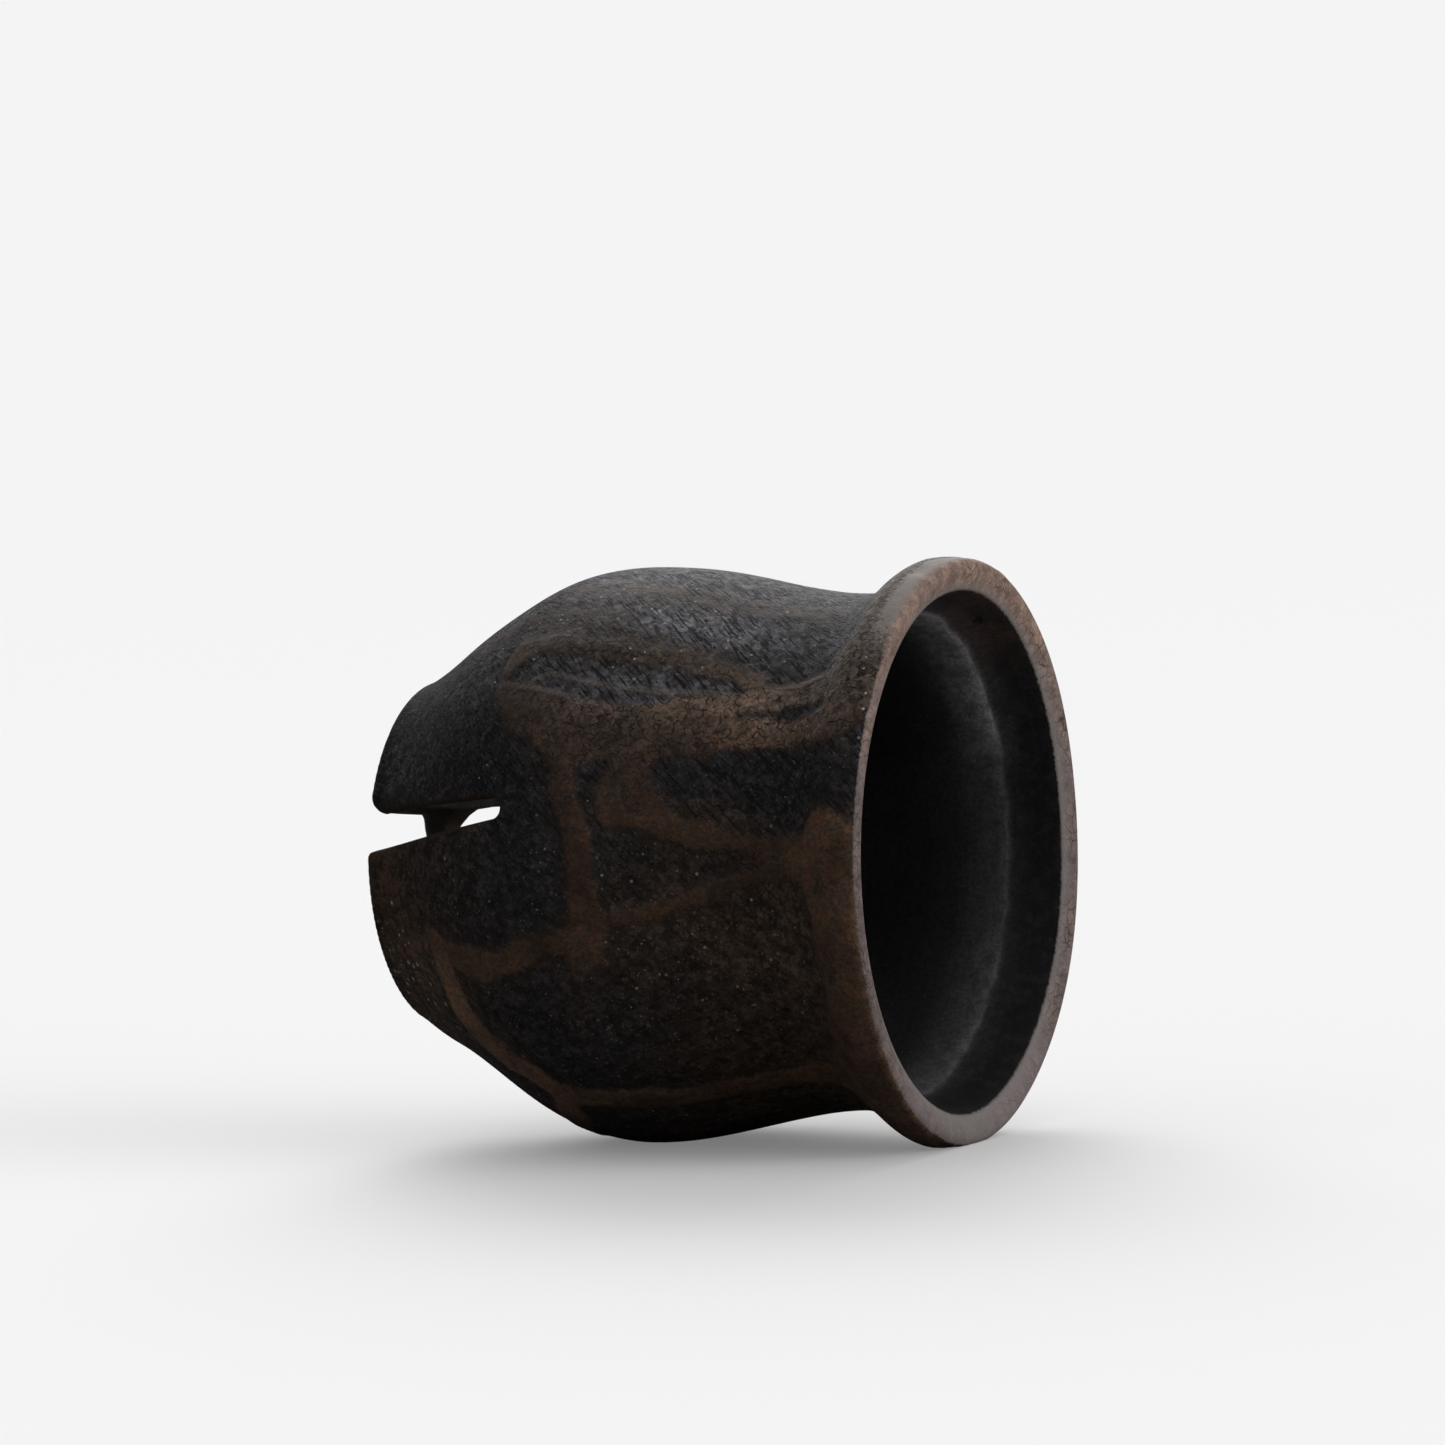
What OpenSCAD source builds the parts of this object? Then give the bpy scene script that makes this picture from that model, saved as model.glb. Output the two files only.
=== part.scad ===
// Clay temple bell, lying on the worn flats of its belly and lip: a flared shell with a slotted crown,
// a hanger bar across the slot, and a clapper on a crossbar inside the belly.
// X runs along the bell's axis from crown to mouth, Z is up, and the floor is at Z = 0.

/* [Bell outline] */
// Outer diameter of the belly and of the lip
belly_d = 110; // [104:1:116]
// Diameter of the crown's edge
crown_d = 64.8; // [60:0.2:70]
// Diameter at the steepest part of the shoulder
shoulder_d = 79; // [76:0.5:82]
// Diameter of the waist above the lip
waist_d = 97; // [95:0.5:99]
// Diameter at the steepest part of the lip's flare
flare_d = 101.5; // [101:0.5:103]
// Length from the crown's edge to the mouth
body_len = 110; // [109:0.5:112]
// Rise of the domed crown above its edge
crown_rise = 4.5; // [4:0.1:6]
// Distance from the crown's edge to the steepest part of the shoulder
shoulder_at = 12.6; // [11:0.2:15]
// Distance from the crown's edge to the widest part of the belly
belly_at = 46.7; // [44:0.1:50]
// Distance from the crown's edge to the waist
waist_at = 89.7; // [88:0.1:91]
// Distance from the crown's edge to the middle of the lip's flare
flare_at = 97.3; // [96:0.1:98.5]
// Distance from the crown's edge to the lip's full width
lip_at = 104.5; // [103:0.1:106]
// Depth of the flats worn under the belly and the lip, on which the bell lies
rest_flat = 0.45; // [0.4:0.05:0.6]

/* [Wall] */
// Thickness of the wall
wall = 5; // [4.5:0.1:5.5]
// Thickness of the crown in its middle
crown_thick = 10.5; // [10:0.1:12]
// Inner diameter of the mouth at the lip
mouth_d = 99; // [98:0.5:100]
// Inner diameter at the soft ridge behind the lip
ridge_d = 91; // [90:0.5:92]
// Distance from the mouth back to the soft ridge
ridge_back = 11.5; // [10.5:0.5:12.5]
// Rounding of the lip's and the crown's edges
edge_round = 1.8; // [1.2:0.1:2]

/* [Crown slot] */
// Width of the slot at the crown's edge
slot_w = 7.8; // [7:0.1:9]
// Width of the slot at its closed end
slot_end_w = 4.1; // [3.5:0.1:5]
// Depth of the slot below the crown's edge
slot_depth = 37.5; // [34:0.5:38]
// Height of the slot's middle above the bell's axis at the crown's edge
slot_lift = 3.3; // [0:0.1:4]
// Slope of the slot towards the belly, in degrees
slot_pitch = 7.6; // [4:0.1:9]
// Turn of the slot about the bell's axis, in degrees
slot_roll = 4.9; // [0:0.1:6]

/* [Hanger bar] */
// Diameter of the bar's middle
hanger_d = 6.8; // [6:0.1:7.2]
// Diameter of the bar's seats in the slot's walls
hanger_seat_d = 7.2; // [6.6:0.1:7.6]
// Depth of each seat in the slot's wall
hanger_seat = 4; // [3:0.5:5]
// Distance of the bar's middle below the crown's edge
hanger_at = 1.2; // [1:0.1:1.6]
// Radius of the luted fillet at each end of the bar
hanger_fillet = 1.5; // [1:0.1:1.6]

/* [Clapper] */
// Diameter of the crossbar
bar_d = 5; // [4.5:0.1:5.5]
// Distance of the crossbar below the crown's edge
bar_at = 45; // [44:0.5:47]
// Depth of the crossbar's sockets in the wall
bar_socket = 2.5; // [2:0.1:2.8]
// Diameter of each luting pad at the wall
pad_d = 13; // [10:0.5:14]
// Length of each luting pad along the crossbar
pad_len = 5; // [4:0.5:6]
// Diameter of each spacer bead
bead_d = 10; // [8:0.5:11]
// Length of each spacer bead
bead_len = 8; // [6:0.5:10]
// Width of the clapper's eye
eye_w = 4.4; // [4:0.1:5]
// Outer diameter of the clapper's eye
eye_d = 11; // [10:0.5:12]
// Diameter of the clapper's shank
shank_d = 3.4; // [3:0.1:4]
// Distance from the crossbar to the middle of the ball
bob_reach = 46; // [44:0.5:47]
// Diameter of the ball
bob_d = 21; // [20:0.5:22]
// Distance from the ball's middle to each flat end
bob_flat = 8.8; // [8.4:0.1:9]
// Diameter of the washer above the ball
washer_d = 8.4; // [7:0.2:9]
// Thickness of the washer
washer_t = 1.2; // [1:0.1:1.5]
// Diameter of the rivet burr below the ball
burr_d = 5.2; // [5:0.1:5.4]
// Height of the rivet burr
burr_h = 1.2; // [1:0.1:1.3]
// Clearance between the ball and the wall where it strikes
strike_gap = 0.4; // [0.3:0.05:0.5]

/* [Hidden] */

clay = "#35312e";
bare_clay = "#5a4638";
iron = "#4a4744";
hardwood = "#6e4a2c";

// Play of the eye on the crossbar, on the radius
eye_play = 0.08;
// Play between the eye and each bead
side_play = 0.3;
// Width of clay round the crossbar at each pad's narrow end, on the diameter
pad_neck = 1.5;
// Diameter of each bead's ends
bead_end_d = 7;
// Straight steps in each stretch of the outline
steps = 8;
// Steps in each stretch when the clapper's stop is worked out
fine_steps = 48;
// Steps in a quarter of an edge's rounding
round_steps = 4;
// Length by which cutters pass a face
over = 2;

mid_x = (body_len - crown_rise) / 2;
slot_taper = (slot_w - slot_end_w) / slot_depth;
hanger_gap = slot_w - slot_taper * hanger_at;
hanger_lift = slot_lift + hanger_at * tan(slot_pitch);
ridge_at = body_len - ridge_back;
ceiling_at = crown_thick - crown_rise;
// Slopes of the outline, as growth of the radius over distance
crown_slope = 0.47;
shoulder_slope = 0.8;
flare_slope = 0.56;
ceiling_slope = 2.2;
ridge_slope = 0.36;
mouth_slope = 0.42;
// How far the flat ceiling stays inside the crown's edge
ceiling_inset = 15;
// The wall is measured square to the surface, so across a sloping shoulder it is wider
shoulder_wall = wall * sqrt(1 + pow(shoulder_slope, 2));

// Stations along the outside and the inside: distance, radius and slope
outer_stations = [
  [edge_round, crown_d / 2, crown_slope],
  [shoulder_at, shoulder_d / 2, shoulder_slope],
  [belly_at, belly_d / 2, 0],
  [waist_at, waist_d / 2, 0],
  [flare_at, flare_d / 2, flare_slope],
  [lip_at, belly_d / 2, 0]
];
inner_stations = [
  [ceiling_at, crown_d / 2 - ceiling_inset, ceiling_slope],
  [shoulder_at + wall / 2, shoulder_d / 2 + shoulder_slope * wall / 2 - shoulder_wall, shoulder_slope],
  [belly_at, belly_d / 2 - wall, 0],
  [waist_at, waist_d / 2 - wall, 0],
  [ridge_at, ridge_d / 2, ridge_slope],
  [body_len - edge_round, mouth_d / 2, mouth_slope]
];

// Point [radius, distance] on the smooth stretch between two stations
function stretch(a, b, t) = let (h = b[0] - a[0]) [
  (2 * t * t * t - 3 * t * t + 1) * a[1] + (t * t * t - 2 * t * t + t) * h * a[2]
  + (3 * t * t - 2 * t * t * t) * b[1] + (t * t * t - t * t) * h * b[2],
  a[0] + h * t
];
function last(list) = list[len(list) - 1];
function outline(stations, n) = [
  for (i = [0 : len(stations) - 2], k = [0 : n - 1]) stretch(stations[i], stations[i + 1], k / n),
  [last(stations)[1], last(stations)[0]]
];
function reversed(list) = [for (i = [len(list) - 1 : -1 : 0]) list[i]];
function arc(centre, r, from, to, n) = [
  for (k = [0 : n]) let (a = from + (to - from) * k / n) centre + r * [cos(a), sin(a)]
];

// Domed crown: an arc that meets the axis at its top and the crown's edge at its rim
dome_rim = crown_d / 2 - edge_round;
dome_r = (pow(dome_rim, 2) + pow(crown_rise, 2)) / (2 * crown_rise);
dome_half = asin(dome_rim / dome_r);
dome = arc([0, dome_r - crown_rise], dome_r, -90, -90 + dome_half, steps);
crown_edge = arc([dome_rim, edge_round], edge_round, -90 + dome_half, 0, round_steps);
lip_outside = arc([belly_d / 2 - edge_round, body_len - edge_round], edge_round, 0, 90, round_steps);
lip_inside = arc([mouth_d / 2 + edge_round, body_len - edge_round], edge_round, 90, 180, round_steps);
inner_line = outline(inner_stations, steps);
shell_outline = concat(
  dome, crown_edge, outline(outer_stations, steps), lip_outside, lip_inside,
  reversed(inner_line), [[0, ceiling_at]]
);
cavity_outline = concat([[0, ceiling_at]], inner_line, [[0, body_len - edge_round]]);

// The clapper's stop: the angle from the axis at which the ball's gap to the wall is the strike gap
function ball_gap(a) = min([
  for (p = outline(inner_stations, fine_steps))
    norm([p[0] - bob_reach * sin(a), p[1] - bar_at - bob_reach * cos(a)])
]) - bob_d / 2;
function stop_angle(low, high, turn) = turn == 0 ? low :
  let (m = (low + high) / 2)
  ball_gap(m) > strike_gap ? stop_angle(m, high, turn - 1) : stop_angle(low, m, turn - 1);
rest_angle = stop_angle(20, 75, 24);
echo(rest_angle = rest_angle, swing = 2 * rest_angle);

// Inner radius of the belly where the crossbar meets it
bar_wall_r = min([
  for (p = outline(inner_stations, fine_steps)) if (abs(p[1] - bar_at) < 2) p[0]
]);
bar_half = bar_wall_r + bar_socket;
bead_y = eye_w / 2 + side_play + bead_len / 2;

// Places its children on the bell's axis, with X as the distance from the crown's edge
module on_axis() { translate([-mid_x, 0, belly_d / 2 - rest_flat]) children(); }
// Turns an outline of [radius, distance] about the bell's axis
module turned() { rotate([0, 90, 0]) rotate_extrude($fn = 180) children(); }
// Puts the slot's middle plane at the X-Y plane of its children
module in_slot() {
  translate([0, 0, slot_lift]) rotate([-slot_roll, 0, 0]) rotate([0, -slot_pitch, 0]) children();
}
// Puts the hanger bar's axis along the Z of its children
module at_hanger() {
  translate([hanger_at, 0, hanger_lift]) rotate([-slot_roll, 0, 0]) rotate([0, -slot_pitch, 0]) children();
}
// Puts the crossbar's axis along the Z of its children, which points to the left side, -Y
module at_bar() { on_axis() translate([bar_at, 0, 0]) rotate([90, 0, 0]) children(); }
// Puts the hanging clapper's shank along the Z of its children, turned down to its rest on the wall
module at_clapper() {
  on_axis() translate([bar_at, 0, 0]) rotate([0, 90 + rest_angle, 0]) children();
}
module at_ball() { at_clapper() translate([0, 0, bob_reach]) children(); }

module slot_cut() {
  top_x = -crown_rise - over;
  top_half = (slot_w - slot_taper * top_x) / 2;
  in_slot() rotate([90, 0, 0]) linear_extrude(height = belly_d + 2 * over, center = true)
    polygon([
      [top_x, -top_half], [slot_depth, -slot_end_w / 2], [slot_depth, slot_end_w / 2], [top_x, top_half]
    ]);
}

// What the worn flats take off the round belly and lip, below the floor
module rest_cut() {
  translate([0, 0, -belly_d / 2]) cube([2 * body_len, 2 * belly_d, belly_d], center = true);
}

module bell_shell() {
  color(clay) difference() {
    on_axis() turned() polygon(shell_outline);
    rest_cut();
    on_axis() slot_cut();
    on_axis() at_hanger()
      cylinder(d = hanger_seat_d, h = hanger_gap + 2 * hanger_seat, center = true, $fn = 64);
    at_bar() cylinder(d = bar_d, h = 2 * bar_half, center = true, $fn = 64);
  }
}

module hanger_bar() {
  fillet_r = hanger_d / 2 + hanger_fillet;
  fillet_z = hanger_gap / 2 - hanger_fillet;
  half = hanger_gap / 2 + hanger_seat;
  upper = concat(
    arc([fillet_r, fillet_z], hanger_fillet, 180, 90, round_steps),
    [[hanger_seat_d / 2, hanger_gap / 2], [hanger_seat_d / 2, half], [0, half]]
  );
  lower = [for (p = reversed(upper)) [p[0], -p[1]]];
  color(bare_clay) on_axis() at_hanger() rotate_extrude($fn = 64) polygon(concat(lower, upper));
}

module clapper_bar() {
  color(bare_clay) at_bar() cylinder(d = bar_d, h = 2 * bar_half, center = true, $fn = 64);
}

// A clay pad round one end of the crossbar: a cone that the wall trims
module bar_pad(side) {
  color(clay) difference() {
    intersection() {
      at_bar() rotate([side * 90 - 90, 0, 0]) translate([0, 0, bar_wall_r - pad_len])
        cylinder(d1 = bar_d + pad_neck, d2 = pad_d, h = pad_len + over, $fn = 64);
      on_axis() turned() polygon(cavity_outline);
    }
    clapper_bar();
  }
}
module bar_pad_left() { bar_pad(1); }
module bar_pad_right() { bar_pad(-1); }

// A barrel-shaped bead with the crossbar's own bore
module spacer_bead(side) {
  bulge = (bead_d - bead_end_d) / 2;
  barrel_r = (pow(bead_len / 2, 2) + pow(bulge, 2)) / (2 * bulge);
  barrel_half = asin(bead_len / 2 / barrel_r);
  side_line = arc([bead_d / 2 - barrel_r, 0], barrel_r, -barrel_half, barrel_half, steps);
  color(bare_clay) at_bar() translate([0, 0, side * bead_y]) rotate_extrude($fn = 64)
    polygon(concat([[bar_d / 2, -bead_len / 2]], side_line, [[bar_d / 2, bead_len / 2]]));
}
module spacer_bead_left() { spacer_bead(1); }
module spacer_bead_right() { spacer_bead(-1); }

module clapper_shank() {
  shank_end = bob_reach + bob_flat + burr_h;
  color(iron) difference() {
    union() {
      at_bar() cylinder(d = eye_d, h = eye_w, center = true, $fn = 64);
      at_clapper() cylinder(d = shank_d, h = shank_end, $fn = 48);
    }
    at_bar() cylinder(r = bar_d / 2 + eye_play, h = eye_w + over, center = true, $fn = 64);
  }
}

module clapper_bob() {
  color(hardwood) at_ball() difference() {
    intersection() {
      sphere(d = bob_d, $fn = 96);
      cube([bob_d + over, bob_d + over, 2 * bob_flat], center = true);
    }
    cylinder(d = shank_d, h = bob_d + over, center = true, $fn = 48);
  }
}

// A flat ring on the shank
module ring(d, h, z) {
  color(iron) at_ball() translate([0, 0, z]) difference() {
    cylinder(d = d, h = h, $fn = 64);
    translate([0, 0, -over]) cylinder(d = shank_d, h = h + 2 * over, $fn = 48);
  }
}
module bob_washer() { ring(washer_d, washer_t, -bob_flat - washer_t); }
module bob_burr() { ring(burr_d, burr_h, bob_flat); }

bell_shell();
hanger_bar();
clapper_bar();
bar_pad_left();
bar_pad_right();
spacer_bead_left();
spacer_bead_right();
clapper_shank();
clapper_bob();
bob_washer();
bob_burr();
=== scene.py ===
# %% [markdown]
# # A clay temple bell, lying on its side
# The bell is one hand-built shell of smoke-blackened clay. A slot is sawn through its crown, a short clay
# bar is luted across the slot to hang it by, and a clapper with a wooden ball swings on a crossbar inside.
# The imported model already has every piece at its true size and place. This lesson dresses those pieces: the
# shell is modelled again with soft edges and raised straps of slip, and each finish is built from nodes.

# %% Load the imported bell
import math

import bmesh
import bpy
import numpy as np
from mathutils import Matrix, Vector, noise


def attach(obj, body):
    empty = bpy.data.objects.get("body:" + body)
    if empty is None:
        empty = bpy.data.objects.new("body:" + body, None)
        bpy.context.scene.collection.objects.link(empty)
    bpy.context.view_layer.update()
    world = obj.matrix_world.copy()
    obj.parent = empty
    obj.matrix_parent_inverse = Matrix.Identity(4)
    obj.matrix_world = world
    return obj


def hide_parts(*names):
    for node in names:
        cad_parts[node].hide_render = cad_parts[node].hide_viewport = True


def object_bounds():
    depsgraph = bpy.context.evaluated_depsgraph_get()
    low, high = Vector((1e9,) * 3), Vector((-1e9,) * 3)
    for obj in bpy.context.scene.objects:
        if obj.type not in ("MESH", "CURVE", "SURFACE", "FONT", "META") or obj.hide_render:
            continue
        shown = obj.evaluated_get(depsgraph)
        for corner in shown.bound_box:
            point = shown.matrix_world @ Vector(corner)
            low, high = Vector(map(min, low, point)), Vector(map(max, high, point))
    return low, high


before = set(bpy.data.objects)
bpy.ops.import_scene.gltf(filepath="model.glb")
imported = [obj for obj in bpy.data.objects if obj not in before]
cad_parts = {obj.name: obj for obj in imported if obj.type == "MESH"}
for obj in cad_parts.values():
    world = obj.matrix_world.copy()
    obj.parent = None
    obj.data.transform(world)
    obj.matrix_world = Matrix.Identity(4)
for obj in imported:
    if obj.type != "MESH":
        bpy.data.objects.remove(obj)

# Without a seed, the vector noise would start from the clock and differ from run to run.
NOISE_SEED = 7
noise.seed_set(NOISE_SEED)

cad_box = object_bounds()
print("pieces in the packed bell:", ", ".join(sorted(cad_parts)))
print("its box in mm:", [round(1000 * v, 2) for corner in cad_box for v in corner])

# %% [markdown]
# ## The camera
# The photograph was taken from far away, a little from the mouth's side and a few degrees from above. A
# camera could be pointed at the bell by a constraint, but three directions say the same thing in plain
# sight: right, up and back. A far camera with a long lens keeps the lip from looking too large.

# %% Put the camera where the photograph was taken
AIM = Vector((0.00738, 0.0, 0.07892))
DISTANCE = 2.0
PICTURE_WIDTH = 0.27214
AZIMUTH, ELEVATION, ROLL = math.radians(23.84), math.radians(4.0), math.radians(-1.92)

outwards = math.cos(ELEVATION)
back = Vector((math.sin(AZIMUTH) * outwards, -math.cos(AZIMUTH) * outwards, math.sin(ELEVATION)))
level = Vector((math.cos(AZIMUTH), math.sin(AZIMUTH), 0.0))
upright = back.cross(level)
right = level * math.cos(ROLL) + upright * math.sin(ROLL)
up = upright * math.cos(ROLL) - level * math.sin(ROLL)

camera = bpy.data.objects.new("camera", bpy.data.cameras.new("camera"))
bpy.context.scene.collection.objects.link(camera)
camera.data.sensor_width = 36.0
camera.data.lens = camera.data.sensor_width * DISTANCE / PICTURE_WIDTH
camera_turn = Matrix((right, up, back)).transposed().to_4x4()
camera.matrix_world = Matrix.Translation(AIM + back * DISTANCE) @ camera_turn
bpy.context.scene.camera = camera
print("lens of the camera: %.1f mm" % camera.data.lens)

# %% [markdown]
# ## Helpers for nodes
# A shader is a graph, and long graphs are easier to read as sums and mixes. These few helpers add one node
# each to the tree that is being built, and hand back its output, so that a line of code reads like the
# formula that it stands for.

# %% Helpers for numbers
tree = None


def add_node(kind, **settings):
    """A new node in the tree that is being built."""
    node = tree.nodes.new("ShaderNode" + kind)
    for name, value in settings.items():
        setattr(node, name, value)
    return node


def is_socket(value):
    return isinstance(value, bpy.types.NodeSocket)


def feed(socket, value):
    """Links a socket to another one, or sets its plain value."""
    if is_socket(value):
        tree.links.new(value, socket)
    else:
        socket.default_value = value


def feed_all(sockets, values):
    for socket, value in zip(sockets, values):
        feed(socket, value)


def calc(operation, *values, clamp=False):
    node = add_node("Math", operation=operation, use_clamp=clamp)
    feed_all(node.inputs, values)
    return node.outputs[0]


def plus(a, b, clamp=False):
    return calc("ADD", a, b, clamp=clamp)


def minus(a, b):
    return calc("SUBTRACT", a, b)


def times(a, b):
    return calc("MULTIPLY", a, b)


def over(a, b):
    return calc("DIVIDE", a, b)


def most(a, b):
    return calc("MAXIMUM", a, b)


def sloped(value, slope, start):
    """A straight line: value times slope, plus start."""
    return calc("MULTIPLY_ADD", value, slope, start)


print("helpers for numbers ready")

# %% Helpers for places and colours
def move(operation, *values):
    """A sum with places instead of numbers."""
    node = add_node("VectorMath", operation=operation)
    feed_all(node.inputs, values)
    return node.outputs["Value" if operation in ("DOT_PRODUCT", "LENGTH", "DISTANCE") else "Vector"]


def split(value, kind="SeparateXYZ"):
    """The three parts of a place or, with SeparateColor, of a colour."""
    node = add_node(kind)
    feed(node.inputs[0], value)
    return node.outputs


def ease(value, low, high, to_low=0.0, to_high=1.0):
    """A smooth step of a value from one range to another."""
    node = add_node("MapRange", interpolation_type="SMOOTHSTEP")
    sockets = [node.inputs[name] for name in ("Value", "From Min", "From Max", "To Min", "To Max")]
    feed_all(sockets, (value, low, high, to_low, to_high))
    return node.outputs["Result"]


def tint(factor, first, second, kind="MIX"):
    """Mixes two colours."""
    node = add_node("Mix", data_type="RGBA", blend_type=kind)
    feed(node.inputs[0], factor)
    for socket, colour in ((node.inputs[6], first), (node.inputs[7], second)):
        feed(socket, colour if is_socket(colour) else (*colour, 1.0))
    return node.outputs[2]


def shaded(colour, value):
    """A colour made lighter or darker by a value."""
    return tint(1.0, colour, value, "MULTIPLY")


def cloud(place, size, detail=2.0, roughness=0.5):
    """Noise with lumps of about the given size in mm; place is in mm too."""
    node = add_node("TexNoise")
    feed(node.inputs["Vector"], move("DIVIDE", place, size if is_socket(size) else (size, size, size)))
    feed_all([node.inputs[name] for name in ("Scale", "Detail", "Roughness")], (1.0, detail, roughness))
    return node.outputs["Fac"]


print("helpers for places and colours ready")

# %% [markdown]
# ## The studio
# The real bell lay on white paper under soft light: most of it low from behind, which throws the shadow
# towards the camera, some from above, a little from the right that catches the lip, and a faint fill from
# the front. Lamps near the bell would fade across the paper, so the light is painted into the sky, as if
# its soft boxes were far away. The paper is a wide flat disc, and where it ends the sky shows the same
# white.

# %% Lay the paper
PAPER_RINGS, PAPER_SIDES = (0.15, 0.4, 1.0, 2.0, 4.0, 7.0, 9.5), 96

turns = np.linspace(0, 2 * np.pi, PAPER_SIDES, endpoint=False)
paper_points = [(0.0, 0.0, 0.0)]
paper_points += [(r * math.cos(t), r * math.sin(t), 0.0) for r in PAPER_RINGS for t in turns]
paper_faces = [(0, 1 + k, 1 + (k + 1) % PAPER_SIDES) for k in range(PAPER_SIDES)]
for ring in range(len(PAPER_RINGS) - 1):
    near, far = 1 + ring * PAPER_SIDES, 1 + (ring + 1) * PAPER_SIDES
    for k in range(PAPER_SIDES):
        after = (k + 1) % PAPER_SIDES
        paper_faces.append((near + k, far + k, far + after, near + after))
paper_mesh = bpy.data.meshes.new("studio_paper")
paper_mesh.from_pydata(paper_points, [], paper_faces)
paper = bpy.data.objects.new("studio_paper", paper_mesh)
bpy.context.scene.collection.objects.link(paper)
print("paper of %d faces" % len(paper_mesh.polygons))

# %% [markdown]
# The paper looks white to the camera, but it throws little light back on the bell, because in the
# photograph the underside of the bell is nearly black. A Light Path node tells the two apart. For the
# camera a part of the white glows by itself, as on a light table, which keeps the shadow soft; far off it
# is all glow, the same as the sky.

# %% Finish the paper
PAPER_WHITE, PAPER_BOUNCE, PAPER_GLOW, BACKDROP = 0.87, 0.24, 0.2, 0.905
GLOW_FROM, GLOW_TO = 0.5, 2.5


def plain(kind, value):
    """A shader of one plain grey."""
    node = add_node(kind)
    node.inputs["Color"].default_value = (value, value, value, 1.0)
    return node


def blended(factor, first, second):
    """Mixes two shaders."""
    node = add_node("MixShader")
    feed_all(node.inputs, (factor, first, second))
    return node.outputs[0]


def for_camera(others, camera_only):
    """One shader for the rays that light things, and another for what the camera sees."""
    return blended(add_node("LightPath").outputs["Is Camera Ray"], others, camera_only)


paper_finish = bpy.data.materials.new("studio_paper")
paper_finish.use_nodes = True
tree = paper_finish.node_tree
tree.nodes.clear()
from_middle = move("LENGTH", add_node("TexCoord").outputs["Object"])
glow_share = ease(from_middle, GLOW_FROM, GLOW_TO, PAPER_GLOW, 1.0)
white, glow, thrown = (plain(kind, value).outputs[0] for kind, value in (
    ("BsdfDiffuse", PAPER_WHITE), ("Emission", BACKDROP), ("BsdfDiffuse", PAPER_BOUNCE)))
seen = blended(glow_share, white, glow)
feed(add_node("OutputMaterial").inputs["Surface"], for_camera(thrown, seen))
paper_mesh.materials.append(paper_finish)
print("paper finished")

# %% [markdown]
# Each soft box is a bright patch of the sky round one direction, and a power makes the patch smaller. Its
# strength is worked out from the share of the paper's light that it gives, so that the paper keeps its
# white when a box is moved.

# %% Paint the soft light into the sky
TOUCH_BRIGHTER = 1.01
PAPER_LIGHT = TOUCH_BRIGHTER * BACKDROP * math.pi / PAPER_WHITE
SOFT_BOXES = {
    "key, low behind": (Vector((-0.36, 0.80, 0.48)), 18.0, 0.49),
    "top": (Vector((0.0, 0.05, 1.0)), 3.0, 0.28),
    "side, for the lip": (Vector((0.985, -0.05, 0.17)), 12.0, 0.165),
    "front fill": (Vector((-0.30, -0.75, 0.40)), 3.0, 0.065),
}


def falls_on_paper(direction, focus):
    """Light that a box of strength 1 throws on the level paper, added up over the sky."""
    z, turn = np.meshgrid((np.arange(300) + 0.5) / 300, np.linspace(0, 2 * np.pi, 360, endpoint=False))
    x, y = np.sqrt(1 - z * z) * np.cos(turn), np.sqrt(1 - z * z) * np.sin(turn)
    facing = np.maximum(x * direction.x + y * direction.y + z * direction.z, 0)
    return 2 * np.pi * np.mean(facing**focus * z)


world = bpy.data.worlds.new("studio")
bpy.context.scene.world = world
world.use_nodes = True
tree = world.node_tree
tree.nodes.clear()
looking = add_node("TexCoord").outputs["Generated"]
light = 0.0
for box, (direction, focus, share) in SOFT_BOXES.items():
    direction = direction.normalized()
    strength = share * PAPER_LIGHT / falls_on_paper(direction, focus)
    facing = most(move("DOT_PRODUCT", looking, tuple(direction)), 0.0)
    light = sloped(calc("POWER", facing, focus), strength, light)
    print("soft box %s: strength %.2f" % (box, strength))
lit = plain("Background", 1.0)
feed(lit.inputs["Strength"], light)
shown = plain("Background", BACKDROP)
feed(add_node("OutputWorld").inputs["Surface"], for_camera(lit.outputs[0], shown.outputs[0]))
bpy.context.scene.view_settings.view_transform = "Standard"

# %% [markdown]
# ## Where things are on the bell
# All sizes below are in millimetres, measured along the bell's axis from the edge of its crown, and out
# from the axis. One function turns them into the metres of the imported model.

# %% Measure along the bell's axis
AXIS_HEIGHT = 54.55
CROWN_TO_MIDDLE = 52.75


def in_frame(points):
    """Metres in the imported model's frame, from millimetres along, across and above the bell's axis."""
    return (np.asarray(points, float) - (CROWN_TO_MIDDLE, 0.0, -AXIS_HEIGHT)) * 0.001


print("crown's edge at", in_frame((0, 0, 0)), "mouth at", in_frame((110, 0, 0)))

# %% [markdown]
# ## The bell's outline
# The outside runs from the middle of the domed crown over the shoulder, belly and waist to the flared lip,
# and the inside comes back from the lip over a soft ridge to the ceiling. A screw modifier could turn such
# a line, but the slot needs rows of points that bend round it, so the line is kept as numbers: each stretch
# is a smooth curve between stations of distance, radius and slope, the same ones that the solid has, but
# for a bevel inside the lip.

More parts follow.
